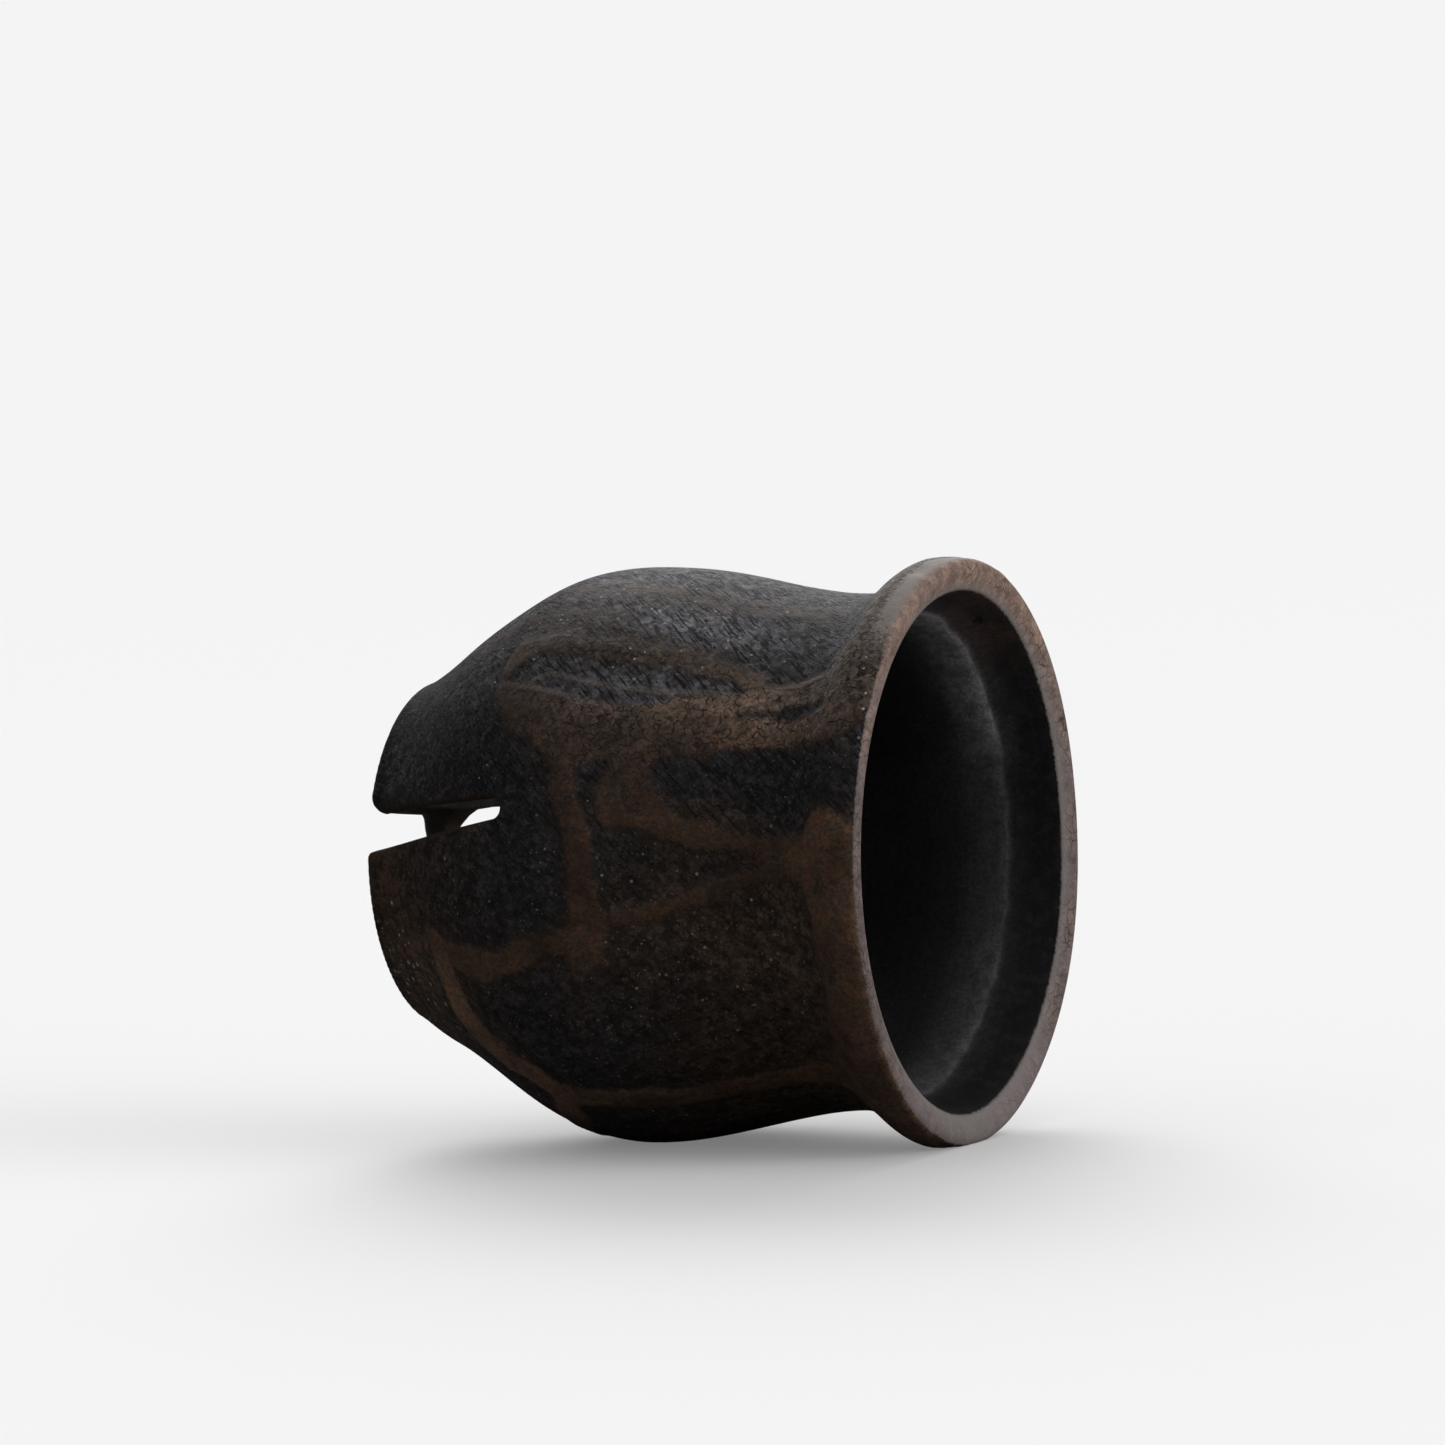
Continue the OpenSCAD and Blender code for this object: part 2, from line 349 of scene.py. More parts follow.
# %% Draw the outline
def smooth_run(stations, step=0.2):
    """Points along smooth curves between stations of distance, radius and slope."""
    run = []
    for (x0, r0, m0), (x1, r1, m1) in zip(stations[:-1], stations[1:]):
        span = x1 - x0
        t = np.linspace(0, 1, max(int(span / step), 4), endpoint=False)
        from_radii = (2*t**3 - 3*t**2 + 1) * r0 + (t**3 - 2*t**2 + t) * span * m0
        to_radii = (3*t**2 - 2*t**3) * r1 + (t**3 - t**2) * span * m1
        run.append(np.stack([x0 + span * t, from_radii + to_radii], 1))
    return np.vstack(run + [[stations[-1][:2]]])


def bow(x, r, radius, start, end, count=16):
    """Part of a circle round the point x, r; 0 degrees points away from the axis and 90 towards the mouth."""
    a = np.radians(np.linspace(start, end, count))
    return np.stack([x + radius * np.sin(a), r + radius * np.cos(a)], 1)


DOME_RADIUS, DOME_HALF, DOME_RISE = 106.29, 16.73, 4.5
CROWN_ROUND, LIP_ROUND, INNER_LIP_ROUND = 1.8, 1.8, 0.8
CEILING_AT, CEILING_RADIUS = 6.0, 17.4
outside_line = np.vstack([
    bow(DOME_RADIUS - DOME_RISE, 0.0, DOME_RADIUS, -90, -90 + DOME_HALF, 120),
    bow(1.8, 30.6, CROWN_ROUND, -90 + DOME_HALF, 0)[:-1],
    smooth_run([
        (1.8, 32.4, 0.47), (12.6, 39.5, 0.8), (46.7, 55.0, 0.0), (89.7, 48.5, 0.0), (97.3, 50.75, 0.56),
        (104.5, 55.0, 0.0),
    ]),
    bow(108.2, 53.2, LIP_ROUND, 0, 90),
])
inside_line = np.vstack([
    np.stack([np.full(60, CEILING_AT), np.linspace(0, CEILING_RADIUS, 60, endpoint=False)], 1),
    smooth_run([
        (CEILING_AT, CEILING_RADIUS, 2.2), (15.1, 35.1, 0.8), (46.7, 50.0, 0.0), (89.7, 43.5, 0.0),
        (98.5, 45.5, 0.36), (108.0, 48.75, 0.36), (108.9, 49.93, 2.25), (109.92, 52.25, 2.25),
    ]),
    bow(109.2, 52.6, INNER_LIP_ROUND, 114, 90, 6)[1:],
])


def walked(line):
    """Distance walked along a line of points."""
    return np.concatenate([[0.0], np.cumsum(np.hypot(*np.diff(line, axis=0).T))])


print("outside line %.1f mm long, inside line %.1f mm" % (walked(outside_line)[-1], walked(inside_line)[-1]))

# %% [markdown]
# ## The slot's edge
# A saw cut leaves a wedge-shaped slot, wider at the crown, tilted a little in two ways because it was made
# by eye. Its edge on the outside and on the inside is found point by point: a point slides along the wall
# of the cut until it meets the clay's surface. A boolean would cut the same slot, but would leave a hard,
# ragged edge.

# %% Describe the slot's walls
SLOT_LIFT, SLOT_DEPTH, SLOT_WIDTH, SLOT_END_WIDTH, SLOT_END_ROUND = 3.5, 37.5, 7.4, 3.75, 1.7
SLOT_ROLL, SLOT_PITCH = math.radians(-4.9), math.radians(-7.6)
SAW_STRAYED, STRAYED_FROM, STRAYED_OVER = 1.3, 5.0, 18.0
SLOT_TURN = np.array(Matrix.Rotation(SLOT_ROLL, 3, "X") @ Matrix.Rotation(SLOT_PITCH, 3, "Y"))


def slot_wall(x, y, part):
    """Height in the slot, from its lower (-1) to its upper wall (1); on the far side the saw strayed up."""
    half = (SLOT_WIDTH - (SLOT_WIDTH - SLOT_END_WIDTH) * x / SLOT_DEPTH) / 2
    strayed = SAW_STRAYED * np.clip((y - STRAYED_FROM) / STRAYED_OVER, 0, 1)
    return half * part + strayed * np.clip(part, 0, 1)


def from_slot(x, y, part):
    """A point on the slot's wall, in the bell's own directions."""
    return np.stack([x, y, slot_wall(x, y, part)], -1) @ SLOT_TURN.T + (0.0, 0.0, SLOT_LIFT)


print("slot %.2f mm wide at the crown and %.2f mm at its end" % (SLOT_WIDTH, SLOT_END_WIDTH))

# %% Find where the slot's walls meet the clay
PAST_BELLY, WELL_OUTSIDE, BEFORE_CROWN, HALVINGS = 60.0, 70.0, -9.0, 44


def rising(line):
    """The part of a line where the radius grows with the distance, up to the belly."""
    part = line[: np.argmax(line[:, 1] * (line[:, 0] < PAST_BELLY)) + 1]
    return part[np.concatenate([np.diff(part[:, 0]) > 1e-6, [True]])]


def short_of(line, p):
    """True where a point has not yet come through the surface of a line, from the crown's side."""
    part = rising(line)
    surface = np.interp(p[..., 0], part[:, 0], part[:, 1])
    return (p[..., 0] < part[0, 0]) | (np.hypot(p[..., 1], p[..., 2]) > surface)


def halve(low, high, test):
    """Closes in on the place between two others where a test stops being true."""
    for _ in range(HALVINGS):
        middle = (low + high) / 2
        low, high = np.where(test(middle), middle, low), np.where(test(middle), high, middle)
    return high


def slot_end(line, turn, side):
    """Points round the slot's closed end; turn runs from its lower wall, -90 degrees, to its upper one."""
    x = SLOT_DEPTH - SLOT_END_ROUND * (1 - np.cos(turn))
    part = np.sin(turn)
    outside, middle = np.full_like(x, WELL_OUTSIDE), np.zeros_like(x)
    y = side * halve(outside, middle, lambda v: short_of(line, from_slot(x, side * v, part)))
    return from_slot(x, y, part), y


def slot_side(line, y, wall):
    """Points along the slot's upper (1) or lower (-1) wall, at places across the bell."""
    outside, end = np.full_like(y, BEFORE_CROWN), np.full_like(y, SLOT_DEPTH)
    x = halve(outside, end, lambda v: short_of(line, from_slot(v, y, wall)))
    return from_slot(x, y, wall)


middle_of_edge = slot_side(outside_line, np.zeros(1), 1)[0]
print("upper edge in the middle of the crown, in mm:", middle_of_edge.round(2))

# %% Walk round the slot's edge
END_STEPS, UPPER_STEPS, LOWER_STEPS = 6, 138, 166


def slot_edge(line):
    """The closed loop of the slot's edge: up from the near end, over to the far end and back below."""
    quarter = np.linspace(0, np.pi / 2, END_STEPS, endpoint=False)
    round_far_end = np.concatenate([np.pi / 2 - quarter, -quarter[1:], [-np.pi / 2]])[: 2 * END_STEPS]
    near_up, _ = slot_end(line, quarter, -1)
    far, _ = slot_end(line, round_far_end, 1)
    near_low, _ = slot_end(line, quarter - np.pi / 2, -1)
    sides = []
    for wall, count, start in ((1, UPPER_STEPS, -1), (-1, LOWER_STEPS, 1)):
        ends = [slot_end(line, np.array([wall * np.pi / 2]), end)[1][0] for end in (start, -start)]
        y = ends[0] + (ends[1] - ends[0]) * (1 - np.cos(np.pi * np.arange(count) / count)) / 2
        sides.append(slot_side(line, y, wall))
    return np.vstack([near_up, sides[0], far, sides[1], near_low])


outer_edge, inner_edge = slot_edge(outside_line), slot_edge(inside_line)
print("slot edge of %d points, %.1f mm across the bell" % (len(outer_edge), np.ptp(outer_edge[:, 1])))

# %% [markdown]
# ## Rows of points round the bell
# Seen from the crown, the slot is a slit in the middle of a disc. Rows of points start as the slit's own
# edge, open into ovals, and become true circles past the belly. That way the whole skin is one clean sheet
# of four-sided faces: outside, over the lip, back along the inside and through the slot, closed on itself.

# %% Spread rows from the slot to the lip
EDGE_ROWS = np.array([0.0, 0.12, 0.4, 0.8, 1.3])
SHOULDER_END, ROUND_FROM, LEAST_GAP, FAR_OFF = 46.0, 54.0, 0.2, 99.0
columns = len(outer_edge)
far_column = END_STEPS + UPPER_STEPS + END_STEPS


def ring_angles(edge):
    """Angle of each column where the rows are circles, even over the upper and the lower half."""
    near, far = (math.atan2(edge[k, 2], edge[k, 1]) % (2 * np.pi) for k in (0, far_column))
    upper = np.linspace(near, far, far_column, endpoint=False)
    return np.concatenate([upper, np.linspace(far, near - 2 * np.pi, columns - far_column, endpoint=False)])


def sheet(line, edge, oval_rows, circle_walks):
    """Rows of walked distance, angle and distance from the slot's edge, from the slot to the lip."""
    walk = walked(line)
    shoulder = np.argmax(line[:, 0] > SHOULDER_END)
    edge_sum = edge[:, 0] + np.hypot(edge[:, 1], edge[:, 2])
    start = np.interp(edge_sum, line[:shoulder].sum(1), walk[:shoulder])
    angle = np.arctan2(edge[:, 2], edge[:, 1])
    ring_walk = walk[np.argmax(line[:, 0] > ROUND_FROM)]
    target = ring_angles(edge)
    a = np.stack([start * np.cos(angle), start * np.sin(angle)], -1)
    b = ring_walk * np.stack([np.cos(target), np.sin(target)], -1)
    length = np.hypot(*(b - a).T)
    first = EDGE_ROWS[:, None] / length
    rest = first[-1] + (1 - first[-1]) * np.linspace(0, 1, oval_rows + 1)[1:, None]
    part = np.vstack([first, rest])
    p = a + part[..., None] * (b - a)
    rows = [np.stack([np.hypot(p[..., 0], p[..., 1]), np.arctan2(p[..., 1], p[..., 0]), part * length], -1)]
    for w in circle_walks[circle_walks > ring_walk + LEAST_GAP]:
        rows.append(np.stack([np.full(columns, w), target, np.full(columns, FAR_OFF)], -1)[None])
    return np.concatenate(rows)


print("first rows lie %s mm from the slot" % EDGE_ROWS)

# %% Choose how close the rows lie
def walk_to(line, x):
    """How far one walks along a line before coming to a distance from the crown."""
    return walked(line)[np.argmax(line[:, 0] >= x)]


LIP_FROM, INNER_LIP_FROM, RIDGE_ROOM = 108.19, 107.9, 14
CIRCLES_FROM, OUTSIDE_STEP, INSIDE_STEP, RIDGE_STEP, LAST_GAP = 60, 0.72, 1.6, 0.5, 0.3
OUTER_OVALS, INNER_OVALS, OUTER_LIP_ROWS, INNER_LIP_ROWS = 92, 40, 7, 14
lip_start, lip_end = walk_to(outside_line, LIP_FROM), walk_to(inside_line, INNER_LIP_FROM)
outside_walks = np.concatenate([
    np.arange(CIRCLES_FROM, lip_start - LAST_GAP, OUTSIDE_STEP),
    np.linspace(lip_start, walked(outside_line)[-1], OUTER_LIP_ROWS),
])
inside_walks = np.concatenate([
    np.arange(CIRCLES_FROM, lip_end - RIDGE_ROOM, INSIDE_STEP),
    np.arange(lip_end - RIDGE_ROOM, lip_end - LAST_GAP, RIDGE_STEP),
    np.linspace(lip_end, walked(inside_line)[-1], INNER_LIP_ROWS),
])
outside_rows = sheet(outside_line, outer_edge, OUTER_OVALS, outside_walks)
inside_rows = sheet(inside_line, inner_edge, INNER_OVALS, inside_walks)
print("rows outside %d, inside %d, columns %d" % (len(outside_rows), len(inside_rows), columns))

# %% [markdown]
# ## From rows to a skin
# Each row is now put in space. Next to the slot the surface dips, so that the sawn edges are as soft as
# clay that was wiped with a wet finger, and the ridge behind the lip rises slowly and drops off towards the
# mouth.

# %% Put the rows in space
OUTER_SOFT, INNER_SOFT, CORNER_SOFT = 1.2, 0.8, 2.2
CORNER_NEARER_THAN, CORNER_AT, CORNER_REACH = -16, 1.0, 3.0
RIDGE_AT, RIDGE_HEIGHT, RIDGE_BEHIND, RIDGE_FRONT = 98.5, 0.35, 2.5, 0.5
RIDGE_WAVER, WAVER_SIZE = 0.9, 6.0
LIP_STEPS, WALL_STEPS = 3, 7


def in_space(line, rows, soft, outward):
    """Points of a sheet, and the direction that each one faces."""
    walk = walked(line)
    x, r = (np.interp(rows[..., 0], walk, line[:, k]) for k in (0, 1))
    slope_x, slope_r = (np.interp(rows[..., 0], walk, np.gradient(line[:, k], walk)) for k in (0, 1))
    angle = rows[..., 1]
    facing = outward * np.stack([-slope_r, slope_x * np.cos(angle), slope_x * np.sin(angle)], -1)
    facing /= np.linalg.norm(facing, axis=-1, keepdims=True)
    near = np.clip(1 - rows[..., 2] / soft, 0, 1)
    dip = soft * (1 - np.sqrt(1 - near**2))
    points = np.stack([x, r * np.cos(angle), r * np.sin(angle)], -1) - dip[..., None] * facing
    return points, facing


def lumps(points, size):
    """A slow noise at each point, with lumps of about the given size in mm."""
    flat = points.reshape(-1, 3)
    return np.array([noise.noise(Vector(p) / size) for p in flat]).reshape(points.shape[:-1])


upper_near = (outer_edge[:, 1] < CORNER_NEARER_THAN) & (np.arange(columns) < far_column)
corner = np.where(upper_near, np.exp(-((outer_edge[:, 0] - CORNER_AT) / CORNER_REACH) ** 2), 0.0)
outside_points, outside_facing = in_space(outside_line, outside_rows, OUTER_SOFT + CORNER_SOFT * corner, 1)
inside_points, inside_facing = in_space(inside_line, inside_rows, INNER_SOFT, -1)
past_ridge = inside_points[..., 0] - RIDGE_AT - RIDGE_WAVER * lumps(inside_points, WAVER_SIZE)
ridge = np.exp(-((past_ridge / np.where(past_ridge < 0, RIDGE_BEHIND, RIDGE_FRONT)) ** 2))
inside_points += RIDGE_HEIGHT * ridge[..., None] * inside_facing

lip_rows = np.linspace(outside_points[-1], inside_points[-1], LIP_STEPS + 1)[1:-1]
wall_rows = np.linspace(inside_points[0], outside_points[0], WALL_STEPS + 1)[1:-1]
print("lip rows %d, slot wall rows %d" % (len(lip_rows), len(wall_rows)))

# %% [markdown]
# ## Straps of slip
# The brown straps were trailed on as thick slip: smooth, slightly raised bands that join into a loose net.
# They could be drawn in the shader alone, but then they would not stand proud of the clay. Here each strap
# is a short list of places, with the distance from the crown, the angle up from the side that faces the
# camera, and the width. Every point of the skin then gets its distance from the nearest strap's edge.

# %% Lay out the straps on the front
front_straps = {
    "upright": [
        (49, 27, 5.4), (50.5, 17, 4.8), (53, 10, 4.5), (54.5, 2.5, 4.6), (55, -5.5, 4.7),
        (54.5, -12.5, 7.6), (54, -15.5, 6.6), (54, -18.5, 2.6),
    ],
    "lower": [
        (17.5, -15.5, 3.0), (21, -18.5, 5.4), (27.5, -19.5, 6.0), (34, -18.5, 5.6), (40, -16, 5.4),
        (45.5, -13.5, 4.8), (54, -12, 4.6), (60, -8.5, 3.3), (67, -7.5, 3.0), (78, -4, 2.9),
        (82.5, -1.5, 2.9), (88.5, 0, 3.4), (93.5, 1.5, 4.6), (98, 3.5, 6.5),
    ],
    "shoulder": [
        (18.5, -17.5, 4.3), (19, -21, 5.4), (21, -28, 6.2), (22, -35.5, 7.0), (25, -40.5, 7.4),
        (30, -44, 7.4), (34.5, -46, 7.0), (39.5, -51, 6.4), (51.5, -52, 5.4), (63.5, -54.5, 5.0),
        (77, -55, 5.0), (87.5, -53.5, 6.0), (97, -52, 8.0),
    ],
    "knob": [
        (62.8, 25, 7.6), (62.7, 19, 8.4), (62.4, 14.8, 11.0), (66.5, 13, 7.8), (70, 11.2, 5.6),
        (75, 9, 4.2), (88, 5.3, 4.5), (93.5, 3.6, 6.0), (99, 3, 8.0),
    ],
    "broad": [
        (34.5, 39.5, 5.0), (41, 33.5, 9.5), (48, 29.5, 12.0), (60, 29, 12.2), (67, 30.5, 11.5),
        (74.5, 33, 12.0), (89, 36.3, 13.4), (97, 36.7, 14.0), (101, 36.5, 15.0),
    ],
    "upper": [
        (34, 44.5, 4.0), (35.5, 49.5, 5.0), (41, 50.5, 5.5), (48.5, 48.5, 6.0), (57.5, 48, 4.3),
        (67, 48.5, 4.3), (77.5, 46.5, 4.8), (83, 44.5, 5.2),
    ],
    "flare": [
        (104, 7, 12.0), (104, -1, 12.5), (105, -10, 11.0), (105.5, -20, 10.0), (105, -32, 11.0),
        (103, -47, 14.0), (103, -64, 12.0),
    ],
    "high flare": [(103, 34, 12.0), (105, 44, 11.0), (106, 56, 9.0), (105, 70, 9.0)],
}
print("straps on the front:", ", ".join(front_straps))

# %% Lay out thin ridges and films of slip
thin_ridges = {
    "long eye's rim": [
        (40, 41.0, 1.2), (43.7, 42, 1.4), (51, 40, 1.4), (58, 39.2, 1.4), (65.5, 39.4, 1.4),
        (73, 40.4, 1.4), (78.4, 41, 1.0),
    ],
    "second rim": [(37.3, 39.5, 1.0), (46.6, 37, 1.3), (55, 34.7, 1.0)],
    "eye's upper rim": [(83, 43.8, 1.2), (87.6, 43.6, 1.5), (91.6, 43.7, 1.5), (96.3, 44.7, 1.2)],
}
thin_films = {
    "top film": [(30, 74, 4.0), (45, 71, 8.0), (56, 69, 8.5), (76, 70, 7.0), (92, 72, 6.0)],
    "high film": [(24, 60, 6.0), (34, 62, 7.0), (44, 60, 7.0), (52, 58, 5.0)],
    "crown film": [(3.5, 3, 6.0), (5, -5, 8.0), (6, -15, 8.0), (9, -24, 7.0), (15, -20, 4.0)],
    "eye film": [
        (34, 52, 6.0), (40, 54.5, 9.0), (47.5, 53.5, 9.5), (55, 52, 8.0), (64, 51, 5.5),
        (74, 49, 4.0),
    ],
}
print("ridges %d, films %d" % (len(thin_ridges), len(thin_films)))

# %% Lay out the straps behind, and the bare eyes in front
back_straps = {
    "far rib": [(22, 96, 1.0), (32, 101, 4.0), (45, 110, 6.2), (60, 112, 4.6), (75, 106, 4.0), (95, 97, 7.0)],
    "far arc": [
        (12, 158, 0.8), (20, 151, 3.4), (35, 140, 6.4), (50, 138, 5.2), (66, 147, 4.0),
        (80, 158, 4.8), (97, 165, 8.0),
    ],
    "far link": [(50, 138, 6.0), (52, 126, 3.8), (50, 112, 5.6)],
    "under arc": [
        (16, -146, 0.8), (24, -151, 3.6), (38, -160, 6.6), (54, -170, 4.6), (68, -178, 4.0),
        (82, 172, 5.0), (98, 168, 8.0),
    ],
    "under rib": [(34, -100, 7.0), (52, -94, 5.0), (70, -99, 4.4), (86, -106, 5.2), (98, -110, 8.0)],
    "under link": [(39.5, -51, 6.0), (36, -75, 5.0), (34, -100, 7.0), (30, -125, 4.4), (38, -160, 6.0)],
    "far flare": [
        (103, 70, 6.0), (102, 97, 8.0), (104, 112, 10.0), (104, 130, 7.0), (102, 165, 10.0),
        (103, -165, 7.0), (104, -140, 4.0),
    ],
    "under flare": [(103, -64, 10.0), (103, -85, 6.0), (103, -108, 9.0), (105, -122, 7.0), (104, -140, 4.0)],
}
bare_eyes = {
    "long eye": [
        (37, 43, 6.0), (42, 43.5, 6.2), (48.5, 43.5, 5.4), (55.5, 43, 4.2), (63.5, 42, 3.0),
        (71, 41, 1.6),
    ],
    "short eye": [(81.5, 35.7, 1.2), (85, 36, 3.0), (90, 36.3, 3.6), (94.5, 36.7, 3.2), (97.5, 37, 1.8)],
}


print("straps behind:", ", ".join(back_straps))

# %% [markdown]
# A point's distance from a strap is that from the nearest stretch between two of its places, less half the
# width there. Where two straps meet, the smaller distance is taken with its corner rounded off, which makes
# them flow together as wet slip does. Slow noise then makes the edges ragged.

# %% Measure how far each point is from a strap
def angle_of(points):
    """Degrees up from the side that faces the camera, round the bell's axis."""
    return np.degrees(np.arctan2(points[..., 2], -points[..., 1]))


def turn_between(angle, start):
    """The shorter way round from one angle to another, in degrees."""
    return (angle - start + 180) % 360 - 180


def from_strap(points, strap):
    """Distance in mm from a strap's edge, negative on the strap."""
    x, r = points[..., 0], np.hypot(points[..., 1], points[..., 2])
    angle = angle_of(points)
    nearest = np.full(x.shape, FAR_OFF)
    for (x0, a0, w0), (x1, a1, w1) in zip(strap[:-1], strap[1:]):
        dx, da = x1 - x0, np.radians(turn_between(a1, a0)) * r
        px, pa = x - x0, np.radians(turn_between(angle, a0)) * r
        t = np.clip((px * dx + pa * da) / (dx * dx + da * da), 0, 1)
        nearest = np.minimum(nearest, np.hypot(px - t * dx, pa - t * da) - (w0 + (w1 - w0) * t) / 2)
    return nearest


def from_nearest(straps):
    return np.min([from_strap(outside_points, strap) for strap in straps.values()], axis=0)


def soft_least(a, b, reach=1.6):
    """The smaller of two distances, with the corner where they meet rounded off."""
    h = np.clip(0.5 + 0.5 * (b - a) / reach, 0, 1)
    return b + (a - b) * h - reach * h * (1 - h)


upright_depth = -from_strap(outside_points, front_straps["upright"]).min()
print("middle of the upright strap: %.1f mm inside its edge" % upright_depth)

# %% Join the straps
STRAP_RAGGED, RAGGED_SIZE = 1.3, 6.5
STRAP_TONES = {
    "upright": 0.85, "lower": 0.87, "shoulder": 2.3, "knob": 0.88, "broad": 0.82, "upper": 0.85, "flare": 1.9,
    "high flare": 0.95,
}
ALMOST_NONE = 1e-3

strap_distance = np.full(outside_points.shape[:2], FAR_OFF)
for strap in (*front_straps.values(), *back_straps.values()):
    strap_distance = soft_least(strap_distance, from_strap(outside_points, strap))
for eye in bare_eyes.values():
    strap_distance = np.maximum(strap_distance, -from_strap(outside_points, eye))
strap_distance += STRAP_RAGGED * lumps(outside_points, RAGGED_SIZE)
tone_sum, near_sum = ALMOST_NONE, ALMOST_NONE
for name, strap in front_straps.items():
    nearness = np.exp(-np.maximum(from_strap(outside_points, strap), -1.0))
    tone_sum, near_sum = tone_sum + STRAP_TONES[name] * nearness, near_sum + nearness
strap_tone = tone_sum / near_sum
seam_distance, film_distance = from_nearest(thin_ridges), from_nearest(thin_films)
print("straps cover %.0f %% of the outside" % (100 * np.mean(strap_distance < 0)))

# %% [markdown]
# ## A hand-made skin
# No hand-built bell is quite round. A slow noise pushes the whole skin a few tenths of a millimetre, the
# same on both sides of the wall, and the straps are lifted on top. Nothing may leave the solid's own box,
# so points that would are set back on it.

# %% Close the skin and make it uneven
STRAP_LIFT, STRAP_SOFT = 0.3, 0.9
WOBBLE, WOBBLE_SIZE = 0.35, 42.0
NO_PUSH_WITHIN = 8
HAND_MARKS = [
    (46, 90, 15, 42, -1.4), (6, -72, 6, 26, 1.2), (20, -72, 9, 30, -0.9), (6, 0, 7, 60, 0.4),
    (24, 80, 8, 40, -0.5),
]


def pushed(points):
    """How far the potter's hands pushed the wall out or in; the marks give place, reach and height."""
    total = np.zeros(points.shape[:-1])
    for x, angle, reach_x, reach_angle, height in HAND_MARKS:
        along, round_axis = points[..., 0] - x, turn_between(angle_of(points), angle)
        total += height * np.exp(-((along / reach_x) ** 2) - (round_axis / reach_angle) ** 2)
    return total


def closed_faces(rows, columns):
    """Four-sided faces of a grid that closes on itself both ways."""
    grid = np.arange(rows * columns).reshape(rows, columns)
    across, down = np.roll(grid, -1, 1), np.roll(grid, -1, 0)
    return np.stack([grid, across, np.roll(across, -1, 0), down], -1).reshape(-1, 4).tolist()


lift = STRAP_LIFT * np.clip(0.5 - strap_distance / (2 * STRAP_SOFT), 0, 1)
lift = lift * lift * (3 * STRAP_LIFT - 2 * lift) / STRAP_LIFT**2
raised_points = outside_points + lift[..., None] * outside_facing
skin = np.concatenate([raised_points, lip_rows, inside_points[::-1], wall_rows])
row_count = len(skin)
flat_skin = skin.reshape(-1, 3)
wobble = np.array([noise.noise_vector(Vector(p) / WOBBLE_SIZE) for p in flat_skin])
from_axis = np.maximum(np.hypot(flat_skin[:, 1], flat_skin[:, 2]), NO_PUSH_WITHIN)
outward = flat_skin * (0, 1, 1) / from_axis[:, None]
flat_skin = flat_skin + WOBBLE * wobble + pushed(flat_skin)[:, None] * outward

skin_metres = in_frame(flat_skin)
low, high = (np.array(corner) for corner in cad_box)
outside_box = np.sum((skin_metres < low) | (skin_metres > high))
skin_metres = np.clip(skin_metres, low, high)
skin_faces = closed_faces(row_count, columns)
print("skin of %d faces; %d coordinates set back on the box" % (len(skin_faces), outside_box))

# %% [markdown]
# ## Marks that the finish needs
# The shader must know where the lip is worn, where the wall turns inside, and where the straps run. Each of
# these is a number on every point of the skin, which Blender blends smoothly across a face. Where the clay
# or the slip is lighter or darker, or the sand, the scuffs or the cracks are stronger, a soft round spot
# says so: how much, the distance from the crown, the angle, and the reach in both directions. The spots
# that make the clay and the slip lighter or darker are partly their own tone and partly painted light and
# shade, which brighten places that the lamps leave too dark and darken places that they light too much.

# %% Mark the straps and spots on the outside
DISTANCE_CAP = 9.0
# Spots for the slip: partly its own tone, partly painted light and shade.
SLIP_TONE_AND_PAINTED_LIGHT_SPOTS = [
    [(2.2, 90, 34, 11, 10), (1.1, 32, -19, 9, 6), (-0.45, 104.5, 3, 4.5, 10)],
    [(0.5, 37, 48, 6, 6), (-0.3, 54, 50, 9, 5), (-0.4, 93, 68, 9, 12)],
    [
        (0.8, 97, 4.5, 6, 4), (0.7, 54, -14, 4, 4), (0.9, 66, 37.5, 17, 4.5), (0.5, 75, 42, 11, 4),
        (0.4, 55, 36, 8, 4), (0.6, 105, 60, 6, 14),
    ],
    [(-0.35, 32, 62, 14, 16), (-0.2, 64, 70, 26, 14), (-0.45, 70, -54, 26, 8), (-0.35, 101, -30, 7, 26)],
]
# Spots for the bare clay: partly its own tone, partly painted light and shade.
CLAY_TONE_AND_PAINTED_LIGHT_SPOTS = [
    (-0.35, 66, 5, 7, 7), (-0.35, 84, 1, 7, 5), (-0.2, 70, -28, 14, 8), (0.55, 92, -20, 8, 8),
    (-0.1, 28, 60, 15, 19), (0.15, 20, 48, 10, 12), (0.6, 14, 27, 8, 8), (1.1, 6, 30, 6, 9),
    (0.2, 37, 5, 10, 10), (-0.25, 51, 42, 10, 4), (0.75, 66, 37.5, 17, 4), (0.5, 73, 41, 10, 4),
    (0.4, 55, 36, 8, 4), (-0.3, 60, -50, 20, 6), (-0.2, 107, 17, 5, 8), (0.8, 69, 59, 12, 7),
    (-0.5, 95, 70, 9, 15), (0.7, 11, -31, 9, 16), (-0.2, 52, -7, 8, 8),
]
SANDY_SPOTS = [(1.0, 76, -17, 15, 13), (0.7, 50, 58, 22, 10), (0.4, 60, -34, 20, 8)]
CRACKLE_SPOTS = [(0.6, 50, 52, 14, 9), (0.7, 105, 64, 6, 24)]
SCUFF_SPOTS = [(1.0, 7, -36, 7, 17)]
CRACKLE_LEAST, CRACKLE_ANGLE, CRACKLE_REACH = 0.2, 34, 16
